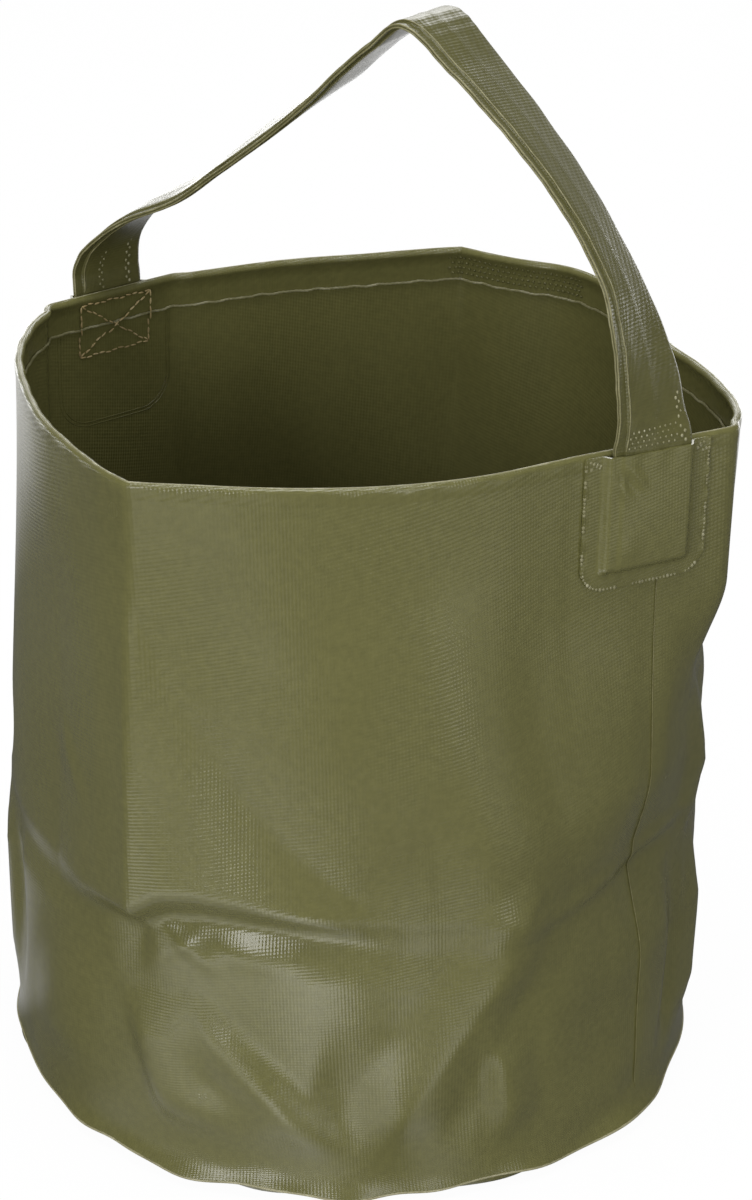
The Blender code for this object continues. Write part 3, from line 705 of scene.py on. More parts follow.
class Nodes:
    """A material's or a node group's nodes, with short calls to add and join them."""

    def __init__(self, tree: bpy.types.NodeTree) -> None:
        """Take the tree that the nodes go into."""
        self.tree = tree

    def add(self, kind: str, values: Optional[dict] = None, **settings: object) -> bpy.types.Node:
        """Add a node.

        Args:
            kind: The node's type.
            values: Input socket names or numbers and their values. A socket as value is linked.
            settings: The node's own settings.

        Returns:
            The node.
        """
        node = self.tree.nodes.new(kind)
        for name, value in settings.items():
            setattr(node, name, value)
        for key, value in (values or {}).items():
            if isinstance(value, bpy.types.NodeSocket):
                self.tree.links.new(value, node.inputs[key])
            else:
                node.inputs[key].default_value = value
        return node

    def math(self, operation: str, first: object, *others: object) -> bpy.types.NodeSocket:
        """Join values by one Math operation, in order, and give the result."""
        if not others:
            return self.add("ShaderNodeMath", {0: first}, operation=operation).outputs[0]
        for other in others:
            first = self.add("ShaderNodeMath", {0: first, 1: other}, operation=operation).outputs[0]
        return first

    def ramp(
        self, value: object, start: float, end: float, low: float = 0.0, high: float = 1.0
    ) -> bpy.types.NodeSocket:
        """Turn a value from start to end into one from low to high, level outside them."""
        sockets = {"Value": value, "From Min": start, "From Max": end, "To Min": low, "To Max": high}
        return self.add("ShaderNodeMapRange", sockets).outputs[0]

    def noise(self, where: object, scale: object, detail: float, rough: float = 0.5) -> bpy.types.NodeSocket:
        """Add a noise texture and give its value."""
        sockets = {"Vector": where, "Scale": scale, "Detail": detail, "Roughness": rough}
        return self.add("ShaderNodeTexNoise", sockets).outputs["Fac"]

    def mixed(self, share: object, first: object, second: object) -> bpy.types.NodeSocket:
        """Mix two colours and give the result."""
        return self.add("ShaderNodeMix", {0: share, 6: first, 7: second}, data_type="RGBA").outputs[2]

    def vector(self, operation: str, first: object, second: object = None) -> bpy.types.Node:
        """Add a Vector Math node."""
        sockets = {0: first} if second is None else {0: first, 1: second}
        return self.add("ShaderNodeVectorMath", sockets, operation=operation)


def group(name: str, inputs: dict[str, str], outputs: dict[str, str]) -> tuple[Nodes, bpy.types.Node]:
    """Start a shader node group.

    Args:
        name: Its name.
        inputs: Its input sockets' names and kinds.
        outputs: Its output sockets' names and kinds.

    Returns:
        Its nodes and the node that gives its inputs.
    """
    tree = bpy.data.node_groups.new(name, "ShaderNodeTree")
    for way, sockets in (("INPUT", inputs), ("OUTPUT", outputs)):
        for label, kind in sockets.items():
            tree.interface.new_socket(label, in_out=way, socket_type=f"NodeSocket{kind}")
    nodes = Nodes(tree)
    return nodes, nodes.add("NodeGroupInput")


def weave_group() -> None:
    """Build the group that presses the base cloth's weave through the coating."""
    nodes, given = group("pressed_weave", {"Cut": "Vector", "Pitch": "Float"}, {"Height": "Float"})
    cut = given.outputs["Cut"]
    turned = nodes.add("ShaderNodeVectorRotate", {"Vector": cut, "Angle": BIAS}, rotation_type="Z_AXIS")
    split = nodes.add("ShaderNodeSeparateXYZ", {0: turned.outputs[0]})
    rate = nodes.math("DIVIDE", 2 * math.pi, given.outputs["Pitch"])
    warp = nodes.math("SINE", nodes.math("MULTIPLY", split.outputs[0], rate))
    weft = nodes.math("SINE", nodes.math("MULTIPLY", split.outputs[1], nodes.math("MULTIPLY", rate, WEFT_SHARE)))
    worn = nodes.ramp(nodes.noise(cut, 26.0, 2.0), 0.35, 0.65, 0.45)
    grain = nodes.math("MULTIPLY", nodes.noise(cut, 900.0, 2.0), 0.9)
    height = nodes.math("ADD", nodes.math("MULTIPLY", warp, weft, worn), grain)
    nodes.add("NodeGroupOutput", {"Height": height})


def tone_group() -> None:
    """Build the group that varies a finish's colour with handling, dust and age."""
    colours = {"Plain": "Color", "Rubbed": "Color", "Grimy": "Color"}
    nodes, given = group(
        "handled_tone", {"Place": "Vector", **colours, "Scale": "Float"}, {"Color": "Color", "Roughness": "Float"}
    )
    place, plain, rubbed, grimy, scale = (given.outputs[i] for i in range(5))
    cloud = nodes.noise(place, scale, 4.0, 0.6)
    shade = nodes.mixed(nodes.ramp(cloud, 0.5, 0.78), plain, rubbed)
    shade = nodes.mixed(nodes.ramp(cloud, 0.46, 0.2), shade, grimy)
    fleck = nodes.ramp(nodes.noise(place, 420.0, 3.0), 0.3, 0.7, 0.93, 1.07)
    speck = nodes.add("ShaderNodeVectorMath", {0: shade, "Scale": fleck}, operation="SCALE")
    gloss = nodes.ramp(cloud, 0.3, 0.7, 0.06, -0.05)
    nodes.add("NodeGroupOutput", {"Color": speck.outputs[0], "Roughness": gloss})


Screen = tuple[int, int, int]


@dataclass(frozen=True)
class Finish:
    """A small piece's finish: mottled colour and a grained surface.

    Attributes:
        plain: Its screen colour.
        rubbed: Its colour where it is rubbed pale.
        grimy: Its colour where it is grimy.
        roughness: Its roughness.
        depth: How deep its grain or weave is.
        grain: The grain's scale.
        mottle: The mottling's scale.
    """

    plain: Screen
    rubbed: Screen
    grimy: Screen
    roughness: float
    depth: float
    grain: float = 0.0
    mottle: float = 160.0

    @staticmethod
    def linear(screen: Screen) -> tuple[float, ...]:
        """Turn a screen colour from 0 to 255 into the linear one that a shader takes."""
        return tuple(((c / 255 + 0.055) / 1.055) ** 2.4 if c > 10 else c / 255 / 12.92 for c in screen) + (1.0,)

    def height(self, nodes: Nodes, where: bpy.types.Node, flat: tuple[float, float]) -> bpy.types.NodeSocket:
        """Give the surface's relief.

        Args:
            nodes: The material's nodes.
            where: Its texture coordinates.
            flat: The piece's flat size, which its UV map spans.

        Returns:
            The height at each point.
        """
        return nodes.noise(where.outputs["Object"], self.grain, 3.0)

    def material(self, name: str, flat: tuple[float, float] = (1.0, 1.0)) -> bpy.types.Material:
        """Make the material of one piece.

        Args:
            name: The material's name.
            flat: The piece's flat size, which its UV map spans.

        Returns:
            The material.
        """
        made = bpy.data.materials.new(name)
        made.use_nodes = True
        nodes = Nodes(made.node_tree)
        where = nodes.add("ShaderNodeTexCoord")
        shades = {"Plain": self.plain, "Rubbed": self.rubbed, "Grimy": self.grimy}
        sockets = {key: self.linear(colour) for key, colour in shades.items()}
        sockets.update({"Place": where.outputs["Object"], "Scale": self.mottle})
        tone = nodes.add("ShaderNodeGroup", sockets, node_tree=bpy.data.node_groups["handled_tone"])
        bump = nodes.add("ShaderNodeBump", {"Height": self.height(nodes, where, flat), "Distance": self.depth})
        shader = made.node_tree.nodes["Principled BSDF"]
        for socket, value in (
            ("Base Color", tone.outputs["Color"]),
            ("Roughness", nodes.math("ADD", tone.outputs["Roughness"], self.roughness)),
            ("Normal", bump.outputs["Normal"]),
        ):
            made.node_tree.links.new(value, shader.inputs[socket])
        return made


@dataclass(frozen=True)
class WovenFinish(Finish):
    """PVC-coated sheet: olive, half glossy, with the cloth's weave showing through."""

    mottle: float = 11.0

    def height(self, nodes: Nodes, where: bpy.types.Node, flat: tuple[float, float]) -> bpy.types.NodeSocket:
        """Give the weave's relief, at its real pitch. Args and result are those of a finish."""
        cut = nodes.add("ShaderNodeMapping", {"Vector": where.outputs["UV"], "Scale": (flat[0], flat[1], 1.0)})
        sockets = {"Cut": cut.outputs[0], "Pitch": WEAVE_PITCH}
        woven = nodes.add("ShaderNodeGroup", sockets, node_tree=bpy.data.node_groups["pressed_weave"])
        return woven.outputs["Height"]


SHEET = WovenFinish((96, 94, 55), (101, 99, 60), (90, 88, 50), 0.225, 0.00004)
STRAP_SHEET = WovenFinish((85, 83, 47), (90, 88, 52), (79, 77, 42), 0.30, 0.00005)
STRAP_EDGE = Finish((118, 114, 78), (150, 146, 112), (98, 94, 60), 0.42, 0.00006, 900.0)
# Painted highlight: the pale colour of the line along the wall's foot stands in for light caught by its curled lip.
FOOT_HIGHLIGHT = Finish((140, 136, 104), (170, 166, 138), (112, 108, 74), 0.42, 0.00006, 900.0)
SEAM_EDGE = Finish((108, 104, 66), (126, 122, 86), (92, 88, 52), 0.42, 0.00006, 900.0)
# Pale colour of the weld beads; the line along the hem's crest also takes it, as a painted highlight.
WELD_AND_CREST_HIGHLIGHT = Finish((120, 117, 84), (170, 167, 140), (104, 100, 66), 0.3, 0.0001, 700.0)
THREAD = Finish((152, 134, 90), (186, 170, 128), (112, 92, 56), 0.6, 0.0001, 2500.0)
WEBBING = Finish((88, 82, 56), (97, 90, 62), (76, 70, 46), 0.85, 0.0002, 1600.0)
CORE = Finish((150, 150, 142), (165, 165, 158), (135, 135, 126), 0.6, 0.00005, 800.0)


def dress(
    piece: bpy.types.Object, finish: Finish, name: str, flat: tuple[float, float] = (1.0, 1.0)
) -> bpy.types.Object:
    """Give a piece its material and log its face count.

    Args:
        piece: The object.
        finish: Its finish.
        name: The material's name.
        flat: The piece's flat size, which its UV map spans.

    Returns:
        The same object.
    """
    piece.data.materials.clear()
    piece.data.materials.append(finish.material(name, flat))
    log.info("%s: %d faces", piece.name, len(piece.data.polygons))
    return piece


def ring(count: int) -> np.ndarray:
    """List evenly spaced angles round the bucket, from -180 degrees on."""
    return np.linspace(-180.0, 180.0, count + 1)[:-1]


@dataclass
class Wall:
    """The wall sheet with its lapped seam, storage creases and dents.

    Attributes:
        foot: How high its lower edge lies at its lowest.
        foot_waves: How far that edge runs up and down, and in and out.
        curl: How high over its edge the foot curls out.
        lap_step: How far the lap's inner end is tucked in.
        head_gap: How far its upper edge stays below the rim.
        kept: The share of its height that is left when it is folded down; not used.
        lips: Where the foot curls out, as (degrees, half its width in degrees, mm outwards).
    """

    form: BucketForm
    columns: int = 380
    rows: int = 124
    foot: float = 0.0032
    foot_waves: tuple[float, float] = (0.0011, 0.0005)
    curl: float = 0.0036
    lap_step: float = 0.00055
    head_gap: float = 0.0046
    kept: float = 0.27
    lips: tuple[tuple[float, float, float], ...] = (
        (-98, 6, 3),
        (-88, 5, 2.4),
        (-77, 8, 3.8),
        (-63, 6, 3.4),
        (-51, 6, 3.8),
        (-38, 5, 2.2),
        (-20, 6, 2.2),
        (-2, 8, 3.8),
        (9, 6, 1.6),
        (60, 12, 1.8),
        (100, 15, 2),
        (150, 12, 2.2),
        (-150, 14, 1.8),
    )

    def foot_height(self, angles: np.ndarray) -> np.ndarray:
        """Give the height of the foot's edge, which runs in waves."""
        turn = np.radians(angles)
        return self.foot + self.foot_waves[0] * (1 + 0.55 * np.sin(11 * turn + 1.0) + 0.45 * np.sin(17 * turn + 2.2))

    def foot_out(self, angles: np.ndarray, over: np.ndarray) -> np.ndarray:
        """Give how far the foot curls and waves outwards over the base weld.

        Args:
            angles: Degrees round the bucket.
            over: Heights over the foot's edge.

        Returns:
            The move outwards in metres.
        """
        reach = sum(size * np.exp(-((turn_from(at, angles) / half) ** 2)) for at, half, size in self.lips)
        curled = (reach + 0.25) * MM * np.exp(-((over / self.curl) ** 1.3))
        return curled + np.exp(-((over / 0.008) ** 2)) * self.foot_waves[1] * np.sin(np.radians(angles * 13) + 0.7)

    def build(self) -> bpy.types.Object:
        """Build the wall sheet and give it."""
        form = self.form
        head = form.height - self.head_gap
        lap = math.degrees(form.seam_width / form.radius)

        def place(u: np.ndarray, v: np.ndarray) -> np.ndarray:
            angles = form.seam_at + (360.0 + lap) * u
            low = self.foot_height(angles)
            heights = low + (head - low) * v**1.25
            under = eased(angles, form.seam_at + 354.5, form.seam_at + 359.6)
            pressed = 1.0 - eased(angles, form.seam_at, form.seam_at + 1.0)
            between = eased(heights, form.flange, form.flange + 0.004)
            between = between * (1.0 - eased(heights, form.hem_foot - 0.005, form.hem_foot))
            tucked = -(self.lap_step * under + 0.0002 * pressed) * between
            return form.points(angles, heights, tucked + self.foot_out(angles, heights - low))

        piece = thickened(cloth("wall_sheet", self.columns, self.rows, place), form.sheet)
        flat = (2 * math.pi * form.radius + form.seam_width, form.height)
        dress(piece, SHEET, "wall_coated_sheet", flat)
        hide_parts("wall_panel")
        return self.sunk(piece)

    def sunk(self, piece: bpy.types.Object) -> bpy.types.Object:
        """Let a piece of the wall ride on the base, with a mesh of its own."""
        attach(piece, "base")
        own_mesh(piece)
        return piece

    def seam_edge(self) -> bpy.types.Object:
        """Build the raw edge of the lap, which shows as a fine line down the wall."""
        heights = np.linspace(self.foot + 0.004, self.form.hem_foot - 0.006, 130)
        path = self.form.points(np.full(heights.shape, self.form.seam_at), heights, np.full(heights.shape, -0.0002))
        return self.sunk(dress(tube("seam_edge_line", path, 0.00016, ring=False), SEAM_EDGE, "seam_raw_edge"))

    def foot_edge(self) -> bpy.types.Object:
        """Build a pale line along the sheet's foot, where it is welded to the base: a painted highlight for the light
        that the foot's curled lip catches.
        """
        angles = ring(720)
        out = self.foot_out(angles, np.zeros(angles.shape)) - 0.0001
        path = self.form.points(angles, self.foot_height(angles), out)
        # The pale line along the foot is a painted highlight.
        return self.sunk(dress(tube("foot_highlight_line", path, 0.00042), FOOT_HIGHLIGHT, "foot_highlight_sheet"))

    def imprint(self, side: Side) -> bpy.types.Object:
        """Build the weld's imprint of a patch on the wall's inner face: two fine ridges."""
        form = self.form
        half, drop, corner, ridge = 0.0245, 0.049, 0.013, 0.00024
        lines = []
        for inset in (0.0, 0.0013):
            turn = np.linspace(0.0, math.pi / 2, 9)
            radius = corner - inset
            centre_x, centre_z = half - corner, form.height - drop + corner
            side_z = np.linspace(form.hem_foot - 0.0015, centre_z, 10)[:-1]
            right_x = np.concatenate([np.full(side_z.shape, half - inset), centre_x + radius * np.cos(turn)])
            right_z = np.concatenate([side_z, centre_z - radius * np.sin(turn)])
            across = np.concatenate([right_x, -right_x[::-1]])
            height = np.concatenate([right_z, right_z[::-1]])
            near = across if side is Side.LEFT else -across
            inward = ridge * eased(near, -0.2 * half, 0.7 * half) - (form.sheet + 0.00008)
            path = form.points(form.root_angles(side, across), height, inward)
            lines.append(tube(f"{side.value}_imprint_{len(lines)}", path, ridge, ring=False))
        piece = joined(f"{side.value}_weld_imprint", lines)
        return self.sunk(dress(piece, SHEET, f"{side.value}_imprint_sheet", (0.1, 0.01)))


@dataclass
class Base:
    """The base disc with its edge turned up inside the wall."""

    form: BucketForm
    columns: int = 288
    rows: int = 72
    bend: float = 0.0042

    def build(self) -> bpy.types.Object:
        """Build the disc, which lies in soft waves, and give it."""
        form = self.form
        flat = form.radius - form.sheet - 0.0002 - self.bend
        arc_length = self.bend * math.pi / 2
        total = flat + arc_length + form.flange - self.bend

        def place(u: np.ndarray, v: np.ndarray) -> np.ndarray:
            turn = 2 * math.pi * u
            run = v * total
            arc = np.clip((run - flat) / arc_length, 0.0, 1.0) * math.pi / 2
            radius = np.minimum(run, flat) + self.bend * np.sin(arc)
            height = self.bend * (1 - np.cos(arc)) + np.clip(run - flat - arc_length, 0.0, None)
            waves = np.sin(11 * turn + 1.0) + 0.7 * np.sin(17 * turn + 2.2)
            radius = radius + 0.0011 * np.exp(-(((run - flat - arc_length * 0.6) / 0.0045) ** 2)) * waves
            swell = eased(radius, 0.02, 0.09) * (1 - eased(radius, 0.1, 0.114))
            height = height + 0.0004 * swell * (1 + np.sin(5 * turn + 0.6))
            return np.stack([radius * np.cos(turn), radius * np.sin(turn), height], axis=-1)

        piece = cloth("base_sheet", self.columns, self.rows, place, close_u=True)
        if piece.data.polygons[0].normal.z > 0:
            edited(piece, lambda: bpy.ops.mesh.flip_normals())
        thickened(piece, form.sheet)
        dress(piece, SHEET, "base_coated_sheet", (2 * math.pi * total, total))
        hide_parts("base_disc")
        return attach(piece, "base")


@dataclass
class Rim:
    """The hem folded over its cord, with the weld lines and pressed dots on it.

    Attributes:
        bead: The radius of the roll round the cord.
        proud: How far the roll stands out from the wall.
    """

    form: BucketForm
    columns: int = 540
    bead: float = 0.0015
    proud: float = 0.0002

    def section(self) -> np.ndarray:
        """List the hem's outer line as (out, up): up the wall, over the bead and down inside."""
        form = self.form
        turns = np.radians(215.0 * np.arange(13) / 12)
        roll_out = self.proud - self.bead + self.bead * np.cos(turns)
        roll_up = form.height - self.bead + self.bead * np.sin(turns)
        inside = -(form.sheet + form.gap)
        start = ((0.00005, form.height - 0.0052), (self.proud, form.height - 0.0032))
        flap = ((-0.0002, 0.0042), (-0.0003, 0.0068), (0.0, 0.0092), (0.0, form.hem_depth))
        end = [(inside + out, form.height - down) for out, down in flap]
        return np.array([*start, *zip(roll_out, roll_up), *end])

    def at_rim(self, angles: np.ndarray, up: np.ndarray, out: np.ndarray) -> np.ndarray:
        """Give points at heights where the wall's outline is read just below its crest.

        Args:
            angles: Degrees round the bucket.
            up: Heights over the floor.
            out: How far each point stands off the wall's face.

        Returns:
            One (x, y, z) row per point.
        """
        points = self.form.points(angles, np.minimum(up, self.form.height - 0.002), out)
        points[:, 2] = up
        return points

    @staticmethod
    def flap_wave(angles: np.ndarray) -> np.ndarray:
        """Give how the flap's welded edge runs up and down."""
        turn = np.radians(angles)
        return 0.00016 * np.sin(turn * 61) + 0.00012 * np.sin(turn * 97 + 1.0)

    def build(self) -> bpy.types.Object:
        """Build the hem and give it."""
        line = self.section()
        rows = len(line) - 1

        def place(u: np.ndarray, v: np.ndarray) -> np.ndarray:
            at = np.rint(v * rows).astype(int)
            angles = -180.0 + 360.0 * u
            up = line[at, 1] + np.where(at == rows, self.flap_wave(angles), 0.0)
            puff = 0.00012 * np.sin(np.radians(angles) * 43) * (at > 2)
            return self.at_rim(angles, up, line[at, 0] + puff)

        piece = cloth("hem_fold", self.columns, rows, place, close_u=True)
        thickened(piece, 0.0006, 75.0, even=True)
        flat = (2 * math.pi * self.form.radius, float(np.hypot(*np.diff(line, axis=0).T).sum()))
        dress(piece, SHEET, "hem_coated_sheet", flat)
        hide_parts("rim_hem")
        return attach(piece, "rim")

    def core(self) -> bpy.types.Object:
        """Build the cord inside the bead and give it."""
        angles = ring(360)
        up, out = (np.full(angles.shape, level) for level in (self.form.height - self.bead, self.proud - self.bead))
        piece = tube("rim_core", self.at_rim(angles, up, out), 0.0006, 8)
        dress(piece, CORE, "rim_core_plastic")
        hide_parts("rim_cord")
        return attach(piece, "rim")

    def weld_line(self) -> bpy.types.Object:
        """Build the bright squeezed edge where the hem's flap is welded down."""
        form = self.form
        angles = ring(1260)
        heights = form.hem_foot + self.flap_wave(angles) - 0.0001
        ribs = 0.00013 * np.sign(np.sin(np.radians(angles) * 420))
        path = form.points(angles, heights, -(form.sheet + form.gap + 0.0005) + ribs)
        piece = tube("hem_weld_line", path, 0.00042, flatten=0.8)
        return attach(dress(piece, WELD_AND_CREST_HIGHLIGHT, "hem_weld_bead"), "rim")

    def crest_line(self) -> bpy.types.Object:
        """Build a pale line along the bead's crest, a painted highlight for the light that the crest catches."""
        angles = ring(720)
        up, out = self.form.height - 0.00018, self.proud - self.bead * 0.9
        path = self.at_rim(angles, np.full(angles.shape, up), np.full(angles.shape, out))
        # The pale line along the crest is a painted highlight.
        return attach(dress(tube("hem_highlight_line", path, 0.0004, 8), WELD_AND_CREST_HIGHLIGHT, "hem_crest_painted_highlight"), "rim")

    def press_dots(self) -> bpy.types.Object:
        """Build the grid of pressed dots that the welding roller left on the hem at the back crease."""
        form = self.form
        inward = np.array([-(form.sheet + form.gap + 0.00075)])
        places = []
        for column, row in product(range(26), range(4)):
            angle = 114.5 - 0.98 * column - 0.49 * (row % 2)
            here = form.points(np.array([angle]), np.array([form.height - 0.0038 - 0.0019 * row]), inward)[0]
            cos, sin = math.cos(math.radians(angle)), math.sin(math.radians(angle))
            places.append(axes_at(here, ((cos, sin, 0), (-sin, cos, 0), (0, 0, 1)), (0.0003, 0.0005, 0.0005)))
        piece = repeated("hem_press_dots", places)
        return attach(dress(piece, SHEET, "hem_press_dot_sheet", (0.05, 0.01)), "rim")


@dataclass
class Patch:
    """A patch welded over a strap end, with its dotted weld line.

    Attributes:
        corner: The radius of its two lower corners.
        strap_rise: How far the strap under it lifts it.
        strap_drop: How far below the rim that strap ends.
    """

    form: BucketForm
    side: Side
    width: float = 0.046
    height: float = 0.0455
    corner: float = 0.009
    strap_rise: float = 0.0034
    strap_drop: float = 0.038

    def rise(self, across: np.ndarray, down: np.ndarray) -> np.ndarray:
        """Give how far the patch stands off the wall where the strap lies under it."""
        near = across if self.side is Side.LEFT else -across
        body = (1.0 - eased(near, 0.0108, 0.0140)) * (1.0 - eased(-near, 0.0136, 0.0172))
        flange = (1.0 - eased(near, 0.0150, 0.0172)) * eased(near, 0.0, 0.006)
        over = np.maximum(body, 0.84 * flange)
        over = over * (1.0 - eased(down, self.strap_drop - 0.0008, self.strap_drop + 0.0030))
        pucker = 0.00016 * np.sin(across * 620 + down * 160) * over * (1 - eased(down, 0.0, 0.010))
        crumple = 0.0007 * mound(near, down, (0.0075, 0.0085), (0.0045, 0.0045)) * np.sin(near * 700 + down * 520)
        ridge = 0.0005 * mound(near, down, (0.0085, 0.031), (0.004, 0.007))
        swell = 0.0003 * mound(near, down, (-0.001, 0.022), (0.009, 0.012))
        return self.form.gap * 0.5 + self.strap_rise * over + pucker + crumple + ridge + swell

    def inset(self, down: np.ndarray) -> np.ndarray:
        """Give how far the rounded foot corners draw the sides in."""
        reach = np.clip(down - (self.height - self.corner), 0.0, self.corner)
        return self.corner - np.sqrt(np.maximum(self.corner**2 - reach**2, 0.0))

    def at(self, across: np.ndarray, down: np.ndarray, lift: np.ndarray) -> np.ndarray:
        """Place points of the patch.

        Args:
            across: Distances from its middle line.
            down: Distances below its top.
            lift: Extra distances off the wall.

        Returns:
            One (x, y, z) row per point.
        """
        heights = self.form.height - 0.0008 - down
        angles = self.form.root_angles(self.side, across)
        return self.form.points(angles, heights, self.rise(across, down) + self.form.sheet + lift)

    def build(self) -> bpy.types.Object:
        """Build the patch and give it."""

        def place(u: np.ndarray, v: np.ndarray) -> np.ndarray:
            down = self.height * (1.0 - v)
            share = 2 * u - 1
            curl = 0.0003 * np.clip(np.abs(share) - 0.93, 0.0, None) / 0.07 * np.sin(down * 700)
            return self.at(share * (self.width / 2 - self.inset(down)), down, curl)

        name, flat = f"{self.side.value}_patch", (self.width, self.height)
        piece = thickened(cloth(f"{name}_sheet", 72, 72, place), self.form.sheet)
        dress(piece, SHEET, f"{name}_coated_sheet", flat)
        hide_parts(name)
        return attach(piece, "rim")

    def border(self, inset: float, step: float) -> list[tuple[float, float]]:
        """List points along the patch's sides and foot as (across, down), a step apart."""
        half, low, radius = self.width / 2 - inset, self.height - inset, self.corner - inset
        points = [(half, 0.001 + i * step) for i in range(int((low - radius - 0.001) / step))]
        turns = max(3, int(radius * math.pi / 2 / step))
        for i in range(turns + 1):
            turn = math.pi / 2 * i / turns
            points.append((half - radius + radius * math.cos(turn), low - radius + radius * math.sin(turn)))
        foot = int(2 * (half - radius) / step)
        points += [(half - radius - (i + 1) * step, low) for i in range(foot // 2)]
        return points + [(-across, down) for across, down in reversed(points)]

    def welds(self) -> bpy.types.Object:
        """Build the dotted weld line: small squeezed beads of coating along the patch's edge."""
        _, along, out, _ = self.form.root(self.side)
        ways = (along, (0, 0, 1), out)
        places = []
        for i, (across, down) in enumerate(self.border(0.0004, 0.00135)):
            if math.sin(i * 0.83) + math.sin(i * 0.31 + 1.0) < -0.9:
                continue
            size = 0.00042 + 0.00022 * math.sin(i * 2.3) ** 2
            here = self.at(np.array([across]), np.array([down]), np.array([-0.0002]))[0]
            places.append(axes_at(here, ways, (size, size * 1.25, size * 0.9)))
        for i in range(22):
            across = (-1 if i % 2 else 1) * (0.0172 + 0.0046 * ((i * 0.37) % 1.0))
            down = 0.0012 + 0.0030 * ((i * 0.61) % 1.0)
            size = 0.00036 + 0.00022 * math.sin(i * 2.9) ** 2
            here = self.at(np.array([across]), np.array([down]), np.array([-0.0001]))[0]
            places.append(axes_at(here, ways, (size, size, size * 0.8)))
        name = f"{self.side.value}_patch_weld"
        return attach(dress(repeated(name, places), WELD_AND_CREST_HIGHLIGHT, f"{name}_bead"), "rim")

    def stitches(self) -> bpy.types.Object:
        """Build the box and cross stitch that sews the strap through the wall, on its inner face."""
        form = self.form
        half, top, low, length = 0.0152, 0.0005, 0.02, 0.0027
        corners = [(-half, top), (half, top), (half, low), (-half, low)]
        runs = list(zip(corners, corners[1:] + corners[:1])) + [(corners[0], corners[2]), (corners[1], corners[3])]
        _, along, out, _ = form.root(self.side)
        places = []
        for start, end in runs:
            way = (along * (end[0] - start[0]) + Vector((0, 0, start[1] - end[1]))).normalized()
            count = round(math.dist(start, end) / length)
            for i in range(count):
                t = (i + 0.5) / count
                across = start[0] + t * (end[0] - start[0])
                down = start[1] + t * (end[1] - start[1]) + 0.0003 * math.sin(i * 1.9)
                level = -(2 * form.sheet + 0.0009) if down < form.hem_depth else -(form.sheet + 0.0002)
                angles = form.root_angles(self.side, np.array([across]))
                here = form.points(angles, np.array([form.height - 0.0028 - down]), np.array([level]))[0]
                wobble = Matrix.Rotation(0.09 * math.sin(i * 3.1 + start[0] * 900), 3, out)
                ways = [wobble @ axis for axis in (way, out.cross(way), out)]
                places.append(axes_at(here, ways, (length * 0.47, 0.00032, 0.00034)))
        piece = repeated(f"{self.side.value}_root_stitches", places, long=True)
        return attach(dress(piece, THREAD, f"{self.side.value}_sewing_thread"), "rim")


